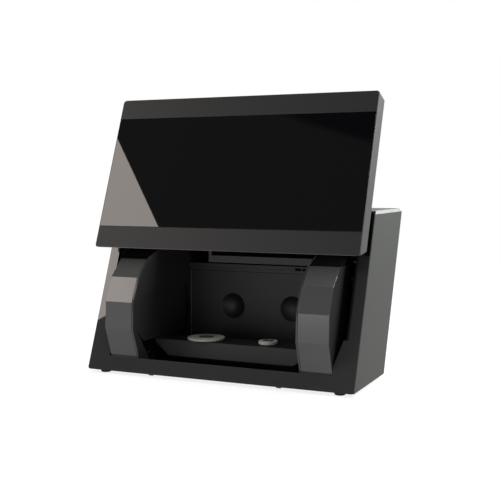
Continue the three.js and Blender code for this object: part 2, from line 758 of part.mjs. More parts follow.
function doorShell() {
  const outer = prismY(
    roundRect(-doorHalf, 0, doorHalf, DOOR_LENGTH, DOOR_CORNER),
    doorFace + DOOR_CHAMFER, doorBack,
  );
  const face = prismY(
    roundRect(-doorHalf + DOOR_CHAMFER, DOOR_CHAMFER, doorHalf - DOOR_CHAMFER,
      DOOR_LENGTH - DOOR_CHAMFER, DOOR_CORNER - DOOR_CHAMFER),
    doorFace, doorFace + DOOR_CHAMFER + CUT,
  );
  const blank = join(outer, face).hull();
  const cavity = block(
    -doorHalf + DOOR_RIM, doorFace + DOOR_SKIN, DOOR_RIM,
    doorHalf - DOOR_RIM, doorBack + CUT, DOOR_LENGTH - DOOR_RIM,
  );
  const inside = doorFace + DOOR_SKIN;
  const ribs = [-DOOR_RIB_X, DOOR_RIB_X].map((x) => block(
    x - DOOR_RIB / 2, inside - CUT, DOOR_RIM - CUT,
    x + DOOR_RIB / 2, inside + DOOR_RIB_DEPTH, DOOR_LENGTH - CUT,
  ));
  ribs.push(block(
    CUT - doorHalf, inside - CUT, DOOR_RIB_UP,
    doorHalf - CUT, inside + DOOR_RIB_DEPTH, DOOR_RIB_UP + DOOR_RIB,
  ));
  const relief = block(
    -WING_OUTER - SWING_CLEARANCE, doorFace + DOOR_RELIEF, -CUT,
    WING_OUTER + SWING_CLEARANCE, doorBack + CUT, DOOR_RIM + CUT,
  );
  const seat = block(
    -doorHalf + WINDOW_MARGIN, doorFace - CUT, WINDOW_BOTTOM,
    doorHalf - WINDOW_MARGIN, doorFace + WINDOW_DEPTH + GAP, WINDOW_TOP,
  );
  return cut(join(cut(blank, cavity), ...ribs), relief, seat);
}

function doorWindow() {
  return block(
    -doorHalf + WINDOW_MARGIN + GAP, doorFace, WINDOW_BOTTOM + GAP,
    doorHalf - WINDOW_MARGIN - GAP, doorFace + WINDOW_DEPTH, WINDOW_TOP - GAP,
  );
}

// Arms reach from the door through the side slots to the carriages on the rails.
const ARM_SPACE = 5.5;
const ARM_WIDTH = 8;
const ARM_OUTER = OPENING_EDGE - ARM_SPACE;
const ARM_INNER = ARM_OUTER - ARM_WIDTH;
const ARM_PAD = 5;
const ARM_PAD_SPREAD = 14;
const CARRIAGE_LENGTH = 44;
const armLow = SLOT_END + RUN - DOOR_LOWERED;
const armHigh = OPENING_TOP - RUN - DOOR_RAISED;
const carriageFront = FRAME_THICK + RUN;

function doorArm() {
  const inside = doorFace + DOOR_SKIN + GAP;
  const bar = block(ARM_INNER, inside, armLow, ARM_OUTER, carriageFront - GAP, armHigh);
  const pad = block(
    ARM_INNER - SWING_CLEARANCE, inside, armLow - ARM_PAD_SPREAD,
    ARM_OUTER + SWING_CLEARANCE, inside + ARM_PAD, armHigh + ARM_PAD_SPREAD,
  );
  return join(bar, pad);
}

function doorCarriage() {
  const outer = chassisInner - GAP - RAIL_FOOT - RUN;
  const body = block(
    ARM_INNER, carriageFront, armHigh - CARRIAGE_LENGTH, outer, RAIL_FAR + RUN, armHigh,
  );
  const groove = block(
    outer - RAIL_HEAD, railMiddle - RAIL_WEB / 2 - RUN, armHigh - CARRIAGE_LENGTH - CUT,
    outer + CUT, railMiddle + RAIL_WEB / 2 + RUN, armHigh + CUT,
  );
  return cut(body, groove);
}

// Cradle: two swing plates, joined by a hollow beam that carries the turntables.
const plateInner = WING_INNER + WING_WALL + RUN / 2;
const plateOuter = plateInner + PLATE_THICK;
const TONGUE_FRONT = 64;
const TONGUE_LOW = 29;
const BEAM_WALL = 2.5;
const BEAM_FOOT_FRONT = 55;
const BEAM_FOOT_REAR = 104;
const BEAM_TAPER = 29.4;
const BEAM_HALF = WING_INNER - RUN;
const BEAM_FOOT_HALF = BEAM_HALF - BEAM_TAPER;
const BEAM_SHOULDER = 37.5;
const BEAM_ROUND = 3;
const TENON_WIDTH = 28;
const TENON_LOW = 31;
const TENON_ROOT = 12;

function swingPlate(carried) {
  const disc = rodX(PLATE_RADIUS, plateInner, plateOuter, AXIS_Y, AXIS_Z, LARGE_SIDES);
  const front = block(0, AXIS_Y - DRUM_RADIUS, -DRUM_RADIUS, HALF_WIDTH, TONGUE_FRONT, CHEEK_SILL);
  const rear = block(0, BEAM_REAR, -DRUM_RADIUS, HALF_WIDTH, REAR_Y, CHEEK_SILL);
  const below = block(0, 0, -DRUM_RADIUS, HALF_WIDTH, REAR_Y, TONGUE_LOW);
  return join(cut(disc, front, rear, below), swingShaft(carried));
}

// The beam's section, and the same shape set in by the wall and open below.
function beamSection() {
  return [
    [BEAM_FRONT, BEAM_TOP],
    [BEAM_FOOT_FRONT, BEAM_BOTTOM + BEAM_ROUND],
    [BEAM_FOOT_FRONT + BEAM_ROUND, BEAM_BOTTOM],
    [BEAM_FOOT_REAR, BEAM_BOTTOM],
    [BEAM_REAR, BEAM_TOP],
  ];
}

function beamHollow() {
  return [
    [BEAM_FRONT + BEAM_WALL, BEAM_TOP - BEAM_WALL],
    [BEAM_FOOT_FRONT + BEAM_WALL, BEAM_BOTTOM + BEAM_ROUND],
    [BEAM_FOOT_FRONT + BEAM_WALL, BEAM_BOTTOM - CUT],
    [BEAM_FOOT_REAR - BEAM_WALL, BEAM_BOTTOM - CUT],
    [BEAM_REAR - BEAM_WALL, BEAM_TOP - BEAM_WALL],
  ];
}

// The ends slant in below the shoulder, so that they clear the frame's lower edge.
function beamEnds(inset) {
  const half = BEAM_HALF - inset;
  const foot = BEAM_FOOT_HALF - inset;
  return prismY([
    [-foot, 0], [foot, 0], [foot, BEAM_BOTTOM],
    [half, BEAM_SHOULDER], [half, BEAM_TOP + CUT], [-half, BEAM_TOP + CUT],
    [-half, BEAM_SHOULDER], [-foot, BEAM_BOTTOM],
  ], 0, REAR_Y);
}

// The beam is a channel, open below, with a tenon at each end that meets its swing plate.
const TABLE_X = 50;
const TABLE_Y = 82;
const SPINDLE_RADIUS = 5;
const PULLEY_RADIUS = 15;
const PULLEY_HEIGHT = 7;
const PULLEY_LOW = 23;
const BELT_THICK = 1.2;
const BELT_MARGIN = 1;
const BEAM_COVER = 2;

function cradleBeam() {
  const outer = prismX(beamSection(), -BEAM_HALF, BEAM_HALF).intersect(beamEnds(0));
  const inner = prismX(beamHollow(), -BEAM_HALF, BEAM_HALF).intersect(beamEnds(BEAM_WALL));
  const tenons = [-1, 1].map((side) => {
    const near = BEAM_HALF - TENON_ROOT;
    const far = plateInner - GAP;
    const middle = (BEAM_FRONT + BEAM_REAR) / 2;
    return block(
      Math.min(side * near, side * far), middle - TENON_WIDTH / 2, TENON_LOW,
      Math.max(side * near, side * far), middle + TENON_WIDTH / 2, BEAM_TOP - BEAM_WALL,
    );
  });
  const bores = [-TABLE_X, TABLE_X].map((x) => rodZ(
    SPINDLE_RADIUS + RUN, 0, BEAM_TOP + CUT, x, TABLE_Y,
  ));
  const hollow = cut(outer, inner);
  return cut(join(hollow, ...tenons), ...bores);
}

function beamCover() {
  const half = BEAM_FOOT_HALF - BEAM_WALL - GAP;
  const low = BEAM_BOTTOM;
  const inset = BEAM_WALL + GAP;
  const plate = block(
    -half, BEAM_FOOT_FRONT + inset + GAP, low, half, BEAM_FOOT_REAR - inset, low + BEAM_COVER,
  );
  const bores = [-TABLE_X, 0, TABLE_X].map((x) => rodZ(
    SPINDLE_RADIUS + RUN, 0, BEAM_TOP, x, TABLE_Y,
  ));
  return cut(plate, ...bores);
}

// The plate motor hangs from the beam's roof; its pulley drives one belt round both spindles.
const PLATE_MOTOR_RADIUS = 12;

function plateMotor() {
  return rodZ(
    PLATE_MOTOR_RADIUS, PULLEY_LOW + PULLEY_HEIGHT + RUN, BEAM_TOP - BEAM_WALL - GAP, 0, TABLE_Y,
  );
}

function stadium(radius) {
  const shape = new THREE.Shape();
  shape.absarc(TABLE_X, TABLE_Y, radius, -Math.PI / 2, Math.PI / 2, false);
  shape.absarc(-TABLE_X, TABLE_Y, radius, Math.PI / 2, 1.5 * Math.PI, false);
  shape.closePath();
  return shape;
}

function plateBelt() {
  const low = PULLEY_LOW + BELT_MARGIN;
  const high = PULLEY_LOW + PULLEY_HEIGHT - BELT_MARGIN;
  const outer = prismZ(stadium(PULLEY_RADIUS + GAP + BELT_THICK), low, high, ROUND_SIDES);
  const inner = prismZ(stadium(PULLEY_RADIUS + GAP), low - CUT, high + CUT, ROUND_SIDES);
  return cut(outer, inner);
}

// A turntable turns on its own spindle, which carries its belt pulley below the beam's roof.
const TABLE_LIFT = 0.9;
const TABLE_RADIUS = 28;
const TABLE_THICK = 3;
const HUB_RADIUS = 14;
const HUB_THICK = 4.5;
const SPINDLE_LOW = 16.2;

const tableLow = BEAM_TOP + TABLE_LIFT;

function spindle() {
  const pulley = rodZ(PULLEY_RADIUS, PULLEY_LOW, PULLEY_LOW + PULLEY_HEIGHT, 0, 0, LARGE_SIDES);
  return join(rodZ(SPINDLE_RADIUS, SPINDLE_LOW, tableLow + CUT, 0, 0), pulley);
}

function turntable(radius, thick) {
  const chamfer = TABLE_LIFT / 2;
  const plate = turned([
    [0, tableLow], [radius - chamfer, tableLow], [radius, tableLow + chamfer],
    [radius, tableLow + thick - chamfer], [radius - chamfer, tableLow + thick],
    [0, tableLow + thick],
  ], LARGE_SIDES);
  return join(spindle(), plate);
}

function drivePulley() {
  const pulley = rodZ(PULLEY_RADIUS, PULLEY_LOW, PULLEY_LOW + PULLEY_HEIGHT, 0, 0, LARGE_SIDES);
  return join(pulley, rodZ(SPINDLE_RADIUS, SPINDLE_LOW, PULLEY_LOW + CUT, 0, 0));
}

// Tilt drive: stub shafts in ball bearings; the right shaft carries a toothed sector.
const SHAFT_RADIUS = 8;
const SHAFT_OVERHANG = 2;
const BEARING_RADIUS = 14;
const BEARING_WIDTH = 7;
const BEARING_SET = 1.2;
const BLOCK_WALL = 4;
const BLOCK_FOOT = 26;
const MODULE = 1.5;
const SECTOR_TEETH = 80;
const PINION_TEETH = 12;
const SECTOR_WIDTH = 5;
const SECTOR_SPAN = 38;
const SECTOR_RIM = 7;
const SECTOR_HUB = 14;
const SECTOR_ANGLE = THREE.MathUtils.degToRad(45);
const TOOTH_TIP_SHARE = 0.2;
const TOOTH_ROOT_SHARE = 0.58;
const ADDENDUM_SHARE = 0.85;
const DEDENDUM_SHARE = 1.2;
const SPOKE_SHARES = [-0.9, 0, 0.9];
const RIM_STEPS = 16;

const bearingInner = plateOuter + BEARING_SET;
const bearingOuter = bearingInner + BEARING_WIDTH;
const sectorInner = bearingOuter + BLOCK_WALL / 2;
const sectorOuter = sectorInner + SECTOR_WIDTH;

function swingShaft(carried) {
  return rodX(SHAFT_RADIUS, plateInner + CUT, carried + SHAFT_OVERHANG, AXIS_Y, AXIS_Z);
}

function bearing() {
  const ring = rodX(BEARING_RADIUS, bearingInner, bearingOuter, AXIS_Y, AXIS_Z, LARGE_SIDES);
  const bore = rodX(SHAFT_RADIUS + GAP, bearingInner - CUT, bearingOuter + CUT, AXIS_Y, AXIS_Z);
  return cut(ring, bore);
}

function bearingBlock() {
  const low = BASE_THICK + GAP;
  const outer = BEARING_RADIUS + GAP + BLOCK_WALL;
  const post = join(
    prismX([
      [AXIS_Y - BLOCK_FOOT, low], [AXIS_Y + BLOCK_FOOT, low],
      [AXIS_Y + outer, AXIS_Z], [AXIS_Y - outer, AXIS_Z],
    ], bearingInner, bearingOuter),
    rodX(outer, bearingInner, bearingOuter, AXIS_Y, AXIS_Z, LARGE_SIDES),
  );
  const seat = rodX(
    BEARING_RADIUS + GAP, bearingInner - CUT, bearingOuter + CUT, AXIS_Y, AXIS_Z, 32,
  );
  return cut(post, seat);
}

// Gear teeth as trapezoids round a pitch circle.
function gearOutline(teeth, first, last, phase) {
  const pitch = (2 * Math.PI) / teeth;
  const pitchRadius = (MODULE * teeth) / 2;
  const tip = pitchRadius + MODULE * ADDENDUM_SHARE;
  const root = pitchRadius - MODULE * DEDENDUM_SHARE;
  const points = [];
  for (let tooth = first; tooth < last; tooth += 1) {
    const middle = phase + tooth * pitch;
    const corner = (radius, share) => [
      radius * Math.cos(middle + share * pitch), radius * Math.sin(middle + share * pitch),
    ];
    points.push(
      corner(root, -TOOTH_ROOT_SHARE / 2), corner(tip, -TOOTH_TIP_SHARE / 2),
      corner(tip, TOOTH_TIP_SHARE / 2), corner(root, TOOTH_ROOT_SHARE / 2),
    );
  }
  return points;
}

function swingSector() {
  const root = (MODULE * SECTOR_TEETH) / 2 - MODULE * DEDENDUM_SHARE;
  const inner = root - SECTOR_RIM;
  const count = SECTOR_SPAN;
  const teeth = gearOutline(SECTOR_TEETH, -count / 2, count / 2 + 1, SECTOR_ANGLE);
  const half = ((count / 2 + TOOTH_ROOT_SHARE) * 2 * Math.PI) / SECTOR_TEETH;
  const ring = [...teeth];
  for (let step = 0; step <= RIM_STEPS; step += 1) {
    const angle = SECTOR_ANGLE + half - (2 * half * step) / RIM_STEPS;
    ring.push([inner * Math.cos(angle), inner * Math.sin(angle)]);
  }
  const rim = prismX(ring, sectorInner, sectorOuter);
  const spokes = SPOKE_SHARES.map((share) => {
    const bar = block(
      sectorInner, -SECTOR_RIM / 2, 0, sectorOuter, SECTOR_RIM / 2, inner + SECTOR_RIM / 2,
    );
    const angle = SECTOR_ANGLE + share * (half - SECTOR_RIM / inner);
    const turn = THREE.MathUtils.radToDeg(angle - Math.PI / 2);
    return bar.rotate([turn, 0, 0]);
  });
  const hub = rodX(SECTOR_HUB, sectorInner, sectorOuter, 0, 0, LARGE_SIDES);
  const bore = rodX(SHAFT_RADIUS + GAP, sectorInner - CUT, sectorOuter + CUT, 0, 0);
  return cut(join(rim, ...spokes, hub), bore).translate([0, AXIS_Y, AXIS_Z]);
}

const pinionReach = (MODULE * (SECTOR_TEETH + PINION_TEETH)) / 2;
const pinionY = AXIS_Y + pinionReach * Math.cos(SECTOR_ANGLE);
const pinionZ = AXIS_Z + pinionReach * Math.sin(SECTOR_ANGLE);
const MOTOR_SHAFT = 3;
const MOTOR_SHAFT_LENGTH = 4;
const MOTOR_RADIUS = 14;
const MOTOR_LENGTH = 14;
const BRACKET_WIDTH = 34;
const MOTOR_FLANGE = 2;
const BRACKET_SPACE = 1;
const bracketX = sectorOuter + BRACKET_SPACE;

function pinion() {
  const teeth = gearOutline(
    PINION_TEETH, 0, PINION_TEETH, SECTOR_ANGLE + Math.PI + Math.PI / PINION_TEETH,
  );
  const gear = prismX(teeth, sectorInner, sectorOuter);
  const shaft = rodX(
    MOTOR_SHAFT, sectorOuter - CUT, sectorOuter + MOTOR_SHAFT_LENGTH, 0, 0, SMALL_SIDES,
  );
  return join(gear, shaft);
}

// The bracket stands on the base and stops short of the leaning flange behind it.
function motorBracket() {
  const far = bracketX + MOTOR_FLANGE;
  const high = pinionZ + MOTOR_RADIUS;
  const plate = block(
    bracketX, pinionY - BRACKET_WIDTH / 2, BASE_THICK + GAP,
    far, pinionY + BRACKET_WIDTH / 2, high,
  );
  const back = (z) => CASE_DEPTH + slope(z) - along(HOUSING_WALL) - GAP;
  const behind = prismX([
    [back(0), 0], [back(high) + CASE_DEPTH, 0],
    [back(high) + CASE_DEPTH, high + CUT], [back(high + CUT), high + CUT],
  ], bracketX - CUT, far + CUT);
  const hole = rodX(MOTOR_SHAFT + RUN, bracketX - CUT, far + CUT, pinionY, pinionZ);
  return cut(plate, behind, hole);
}

function swingMotor() {
  const near = bracketX + MOTOR_FLANGE + GAP;
  const body = rodX(MOTOR_RADIUS, near, near + MOTOR_LENGTH, pinionY, pinionZ);
  const well = rodX(MOTOR_SHAFT + RUN, near - CUT, near + MOTOR_FLANGE, pinionY, pinionZ);
  return cut(body, well);
}

// Electronics on the base behind the chamber.
const SUPPLY_INSET = 12;
const SUPPLY_WIDTH = 92;
const SUPPLY_SPACE = 13;
const SUPPLY_REAR_SPACE = 29;
const SUPPLY_HEIGHT = 42;
const SUPPLY_WALL = 1.5;
const SUPPLY_SLOT = 3;
const SUPPLY_SLOTS = 7;
const SUPPLY_MARGIN = 9;
const BOARD_GAP = 20;
const BOARD_INSET = 18;
const BOARD_SPACE = 11;
const BOARD_REAR_SPACE = 27;
const BOARD_THICK = 1.6;
const POST_HEIGHT = 8;
const POST_RADIUS = 3;
const POST_INSET = 6;
const CHIP_SIZE = 22;
const CHIP_HEIGHT = 4;
const CHIP_SHARES = [0.2, 0.5, 0.78];
const baseSeatZ = BASE_THICK + GAP;
const wallRear = WALL_Y + WALL_THICK;
const supplyLeft = SUPPLY_INSET - REAR_HALF_WIDTH;
const supplyRight = supplyLeft + SUPPLY_WIDTH;

// A sheet-metal box with a row of cooling slots in its lid.
function powerSupply() {
  const y0 = wallRear + SUPPLY_SPACE;
  const y1 = REAR_Y - SUPPLY_REAR_SPACE;
  const top = baseSeatZ + SUPPLY_HEIGHT;
  const box = block(supplyLeft, y0, baseSeatZ, supplyRight, y1, top);
  const hollow = block(
    supplyLeft + SUPPLY_WALL, y0 + SUPPLY_WALL, baseSeatZ + SUPPLY_WALL,
    supplyRight - SUPPLY_WALL, y1 - SUPPLY_WALL, top - SUPPLY_WALL,
  );
  const pitch = SUPPLY_WIDTH / (SUPPLY_SLOTS + 1);
  const slots = [];
  for (let row = 1; row <= SUPPLY_SLOTS; row += 1) {
    const x = supplyLeft + row * pitch;
    slots.push(block(
      x - SUPPLY_SLOT / 2, y0 + SUPPLY_MARGIN, top - SUPPLY_WALL - CUT,
      x + SUPPLY_SLOT / 2, y1 - SUPPLY_MARGIN, top + CUT,
    ));
  }
  return cut(box, hollow, ...slots);
}

// The main board stands on four posts and carries its larger chips.
function mainBoard() {
  const low = baseSeatZ + POST_HEIGHT;
  const top = low + BOARD_THICK;
  const x0 = supplyRight + BOARD_GAP;
  const x1 = REAR_HALF_WIDTH - BOARD_INSET;
  const y0 = wallRear + BOARD_SPACE;
  const y1 = REAR_Y - BOARD_REAR_SPACE;
  const sheet = block(x0, y0, low, x1, y1, top);
  const posts = [];
  for (const x of [x0 + POST_INSET, x1 - POST_INSET]) {
    for (const y of [y0 + POST_INSET, y1 - POST_INSET]) {
      posts.push(rodZ(POST_RADIUS, baseSeatZ, low + BOARD_THICK / 2, x, y, SMALL_SIDES));
    }
  }
  const chips = CHIP_SHARES.map((share) => {
    const x = x0 + share * (x1 - x0);
    const y = (y0 + y1) / 2;
    return block(
      x - CHIP_SIZE / 2, y - CHIP_SIZE / 2, top - BOARD_THICK / 2,
      x + CHIP_SIZE / 2, y + CHIP_SIZE / 2, top + CHIP_HEIGHT,
    );
  });
  return join(sheet, ...posts, ...chips);
}

// Cooling fan behind the vents: a square housing with struts, and a bladed rotor.
const FAN_SIZE = 80;
const FAN_CORNER = 3;
const FAN_STRUTS = 3;
const FAN_DEPTH = 20;
const FAN_BORE = 37;
const FAN_HUB = 14;
const FAN_BLADES = 7;
const FAN_TIP = 35.5;
const FAN_STRUT = 3;
const FAN_PIN = 2.5;
const FAN_PIN_START = 6;
const BLADE_THICK = 1.8;
const BLADE_TWIST = THREE.MathUtils.degToRad(34);
const BLADE_SWEEP = 10;
const fanX = VENT_X;
const fanZ = VENT_LOW + (VENT_COUNT * VENT_PITCH) / 2;
const fanRear = REAR_Y - HOUSING_WALL - GAP;
const fanFront = fanRear - FAN_DEPTH;
const rotorDepth = FAN_DEPTH - FAN_STRUT - RUN - RUN;
const rotorMiddle = fanFront + RUN + rotorDepth / 2;

function fanHousing() {
  const half = FAN_SIZE / 2;
  const frame = prismY(
    roundRect(fanX - half, fanZ - half, fanX + half, fanZ + half, FAN_CORNER), fanFront, fanRear,
  );
  const bore = rodY(FAN_BORE, fanFront - CUT, fanRear + CUT, fanX, fanZ, LARGE_SIDES);
  const struts = [];
  for (let strut = 0; strut < FAN_STRUTS; strut += 1) {
    const bar = block(
      -FAN_STRUT / 2, fanRear - FAN_STRUT, 0, FAN_STRUT / 2, fanRear, FAN_BORE + CUT,
    );
    struts.push(bar.rotate([0, (FULL_TURN * strut) / FAN_STRUTS, 0]).translate([fanX, 0, fanZ]));
  }
  const hub = rodY(FAN_HUB, fanRear - FAN_STRUT, fanRear, fanX, fanZ);
  const pin = rodY(
    FAN_PIN, fanFront + FAN_PIN_START, fanRear - FAN_STRUT / 2, fanX, fanZ, SMALL_SIDES,
  );
  return join(cut(frame, bore), ...struts, hub, pin);
}

function fanRotor() {
  const half = rotorDepth / 2;
  const cup = rodY(FAN_HUB, -half, half, 0, 0);
  const bore = rodY(FAN_PIN + GAP, -half + FAN_STRUT, half + CUT, 0, 0, SMALL_SIDES);
  const width = (rotorDepth - FAN_STRUT) / Math.cos(BLADE_TWIST);
  const blades = [];
  for (let blade = 0; blade < FAN_BLADES; blade += 1) {
    const fin = block(
      -BLADE_THICK / 2, -width / 2, FAN_HUB - BLADE_THICK, BLADE_THICK / 2, width / 2, FAN_TIP,
    );
    const set = THREE.MathUtils.radToDeg(BLADE_TWIST);
    const lean = THREE.MathUtils.radToDeg(Math.atan(BLADE_SWEEP / FAN_TIP));
    blades.push(fin.rotate([0, 0, set]).rotate([0, lean / 2, 0])
      .rotate([0, (FULL_TURN * blade) / FAN_BLADES, 0]));
  }
  const swept = rodY(FAN_TIP, -half, half, 0, 0, LARGE_SIDES);
  return cut(join(cup, ...blades).intersect(swept), bore);
}

// Assembly. Everything is set in the casing's own frame: X across, Y back from the front
// lower edge, Z up from the underside. The lean group carries what lies on the sloping face.
const scanner = new THREE.Group();
const body = new THREE.Group();
const lean = new THREE.Group();
const door = new THREE.Group();
lean.rotation.x = -LEAN;
door.position.z = DOOR_RAISED;

function placed(made, x, y, z) {
  made.position.set(x, y, z);
  return made;
}

const footPlaces = {
  foot_front_right: [footX, FOOT_FRONT],
  foot_front_left: [-footX, FOOT_FRONT],
  foot_rear_right: [footRearX, footRear],
  foot_rear_left: [-footRearX, footRear],
};

body.add(
  piece('base_plate', basePlate(), 'steel'),
  ...pair('side_panel', sidePanel(), 'satin'),
  piece('top_cover', topCover(), 'satin'),
  piece('rear_housing', rearHousing(), 'satin'),
  piece('rear_cover', rearCover(), 'satin'),
  piece('power_inlet', powerInlet(), 'matte'),
  piece('data_socket', socketShell(socketX, SOCKET_WIDTH, SOCKET_HEIGHT, SOCKET_DEPTH), 'steel'),
  piece('switch_body', socketShell(switchX, SWITCH_WIDTH, SWITCH_HEIGHT, SWITCH_DEPTH), 'matte'),
  ...pair('chassis_side', chassisSide(), 'steel'),
  piece('head_beam', headBeam(), 'steel'),
  piece('head_cover', headCover(), 'matte'),
  piece('chamber_wall', chamberWall(), 'matte'),
  piece('wall_rail', wallRail(), 'matte'),
  ...pair('wing_shell', wingShell(), 'wing'),
  ...pair('wing_cheek', wingCheek(), 'matte'),
  ...pair('bearing_block', bearingBlock(), 'steel'),
  ...pair('swing_bearing', bearing(), 'steel'),
  piece('motor_bracket', motorBracket(), 'steel'),
  piece('swing_motor', swingMotor(), 'steel'),
  piece('power_supply', powerSupply(), 'steel'),
  piece('main_board', mainBoard(), 'board'),
  piece('fan_housing', fanHousing(), 'matte'),
  ...Object.entries(footPlaces).map(([name, [x, y]]) => (
    placed(piece(name, foot(), 'rubber'), x, y, -FOOT_HEIGHT)
  )),
);

body.add(
  piece('projector_body', opticBody(headMiddle, PROJECTOR_WIDTH, PROJECTOR_DEPTH), 'matte'),
  piece('projector_lens', opticLens(headMiddle, PROJECTOR_LENS), 'lens'),
);
const cameraPlaces = { left: HEAD_LEFT + CAMERA_INSET, right: headRight - CAMERA_INSET };
for (const [side, x] of Object.entries(cameraPlaces)) {
  body.add(
    piece(`camera_body_${side}`, opticBody(x, CAMERA_SIZE, CAMERA_SIZE), 'matte'),
    piece(`camera_lens_${side}`, opticLens(x, CAMERA_LENS), 'lens'),
  );
}

body.add(
  piece('swing_plate_right', swingPlate(sectorOuter), 'matte'),
  piece('swing_plate_left', mirror(swingPlate(bearingOuter)), 'matte'),
  piece('swing_sector', swingSector(), 'steel'),
  piece('cradle_beam', cradleBeam(), 'matte'),
  piece('beam_cover', beamCover(), 'matte'),
  piece('plate_motor', plateMotor(), 'steel'),
  piece('plate_belt', plateBelt(), 'rubber'),
  placed(piece('turntable_left', turntable(TABLE_RADIUS, TABLE_THICK), 'light'), -TABLE_X, TABLE_Y, 0),
  placed(piece('turntable_right', turntable(HUB_RADIUS, HUB_THICK), 'light'), TABLE_X, TABLE_Y, 0),
  placed(piece('drive_pulley', drivePulley(), 'steel'), 0, TABLE_Y, 0),
  placed(piece('swing_pinion', pinion(), 'steel'), 0, pinionY, pinionZ),
  placed(piece('fan_rotor', fanRotor(), 'matte'), fanX, rotorMiddle, fanZ),
);

const switchRocker = placed(
  piece('power_rocker', rocker(), 'matte'), switchX, REAR_Y - ROCKER_DEPTH / 2 - ROCKER_SET, INLET_Z,
);
switchRocker.rotation.x = SWITCH_TILT;
body.add(switchRocker);

lean.add(
  piece('front_frame', frontFrame(), 'gloss'),
  ...pair('door_rail', doorRail(), 'steel'),
);
door.add(
  piece('door_shell', doorShell(), 'satin'),
  piece('door_window', doorWindow(), 'glass'),
  ...pair('door_arm', doorArm(), 'matte'),
  ...pair('door_carriage', doorCarriage(), 'matte'),
);
lean.add(door);
body.add(lean);
scanner.add(body);

// The origin stands under the middle of the machine, at floor level.
const frontmost = drumCorner(3)[0];
body.position.set(0, -(frontmost + REAR_Y) / 2, FOOT_HEIGHT);

export default scanner;
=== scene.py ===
import json
import math
import bpy
from mathutils import Matrix, Vector

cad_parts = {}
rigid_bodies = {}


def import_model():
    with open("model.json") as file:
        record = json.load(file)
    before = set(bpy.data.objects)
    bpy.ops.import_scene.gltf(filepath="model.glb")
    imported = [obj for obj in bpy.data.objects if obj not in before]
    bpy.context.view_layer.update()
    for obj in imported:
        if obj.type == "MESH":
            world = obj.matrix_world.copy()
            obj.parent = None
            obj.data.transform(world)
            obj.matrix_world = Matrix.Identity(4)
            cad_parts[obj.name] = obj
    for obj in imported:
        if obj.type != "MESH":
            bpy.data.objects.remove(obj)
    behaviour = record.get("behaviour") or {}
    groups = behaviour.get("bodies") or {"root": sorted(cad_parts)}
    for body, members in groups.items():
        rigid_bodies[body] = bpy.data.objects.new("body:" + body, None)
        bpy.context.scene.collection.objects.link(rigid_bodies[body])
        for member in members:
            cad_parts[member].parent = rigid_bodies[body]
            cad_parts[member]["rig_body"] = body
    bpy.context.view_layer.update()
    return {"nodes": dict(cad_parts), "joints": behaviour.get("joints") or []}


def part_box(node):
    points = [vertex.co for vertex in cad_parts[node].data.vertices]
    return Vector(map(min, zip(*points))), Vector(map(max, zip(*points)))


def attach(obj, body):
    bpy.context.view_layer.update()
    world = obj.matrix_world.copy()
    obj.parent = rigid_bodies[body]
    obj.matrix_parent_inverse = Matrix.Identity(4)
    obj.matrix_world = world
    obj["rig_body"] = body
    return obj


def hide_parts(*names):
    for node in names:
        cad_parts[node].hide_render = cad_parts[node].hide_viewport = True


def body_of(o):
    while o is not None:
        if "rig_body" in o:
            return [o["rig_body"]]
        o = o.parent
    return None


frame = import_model()
nodes = frame["nodes"]
scene = bpy.context.scene
scene.view_settings.view_transform = "Standard"

# The camera stands in front of the machine and to its right, a little above its middle,
# with a long lens, and takes a square picture.
CAMERA_PLACE = (0.5607, -1.2640, 0.2827)
CAMERA_TILT = math.pi / 2 - 0.076
CAMERA_TURN = 0.421
CAMERA_LENS = 65.9
CAMERA_SENSOR = 36

camera = bpy.data.objects.new("camera", bpy.data.cameras.new("camera"))
scene.collection.objects.link(camera)
camera.location = CAMERA_PLACE
camera.rotation_euler = (CAMERA_TILT, 0, CAMERA_TURN)
camera.data.lens = CAMERA_LENS
camera.data.sensor_width = CAMERA_SENSOR
scene.camera = camera

# Base plate, chassis sides, motor bracket and door rails: zinc-plated steel sheet and bar with
# a black coat, fixed together to carry everything else. The door's arms, and the carriages that
# run on the rails, are plastic mouldings with the same black finish.
MM = 0.001


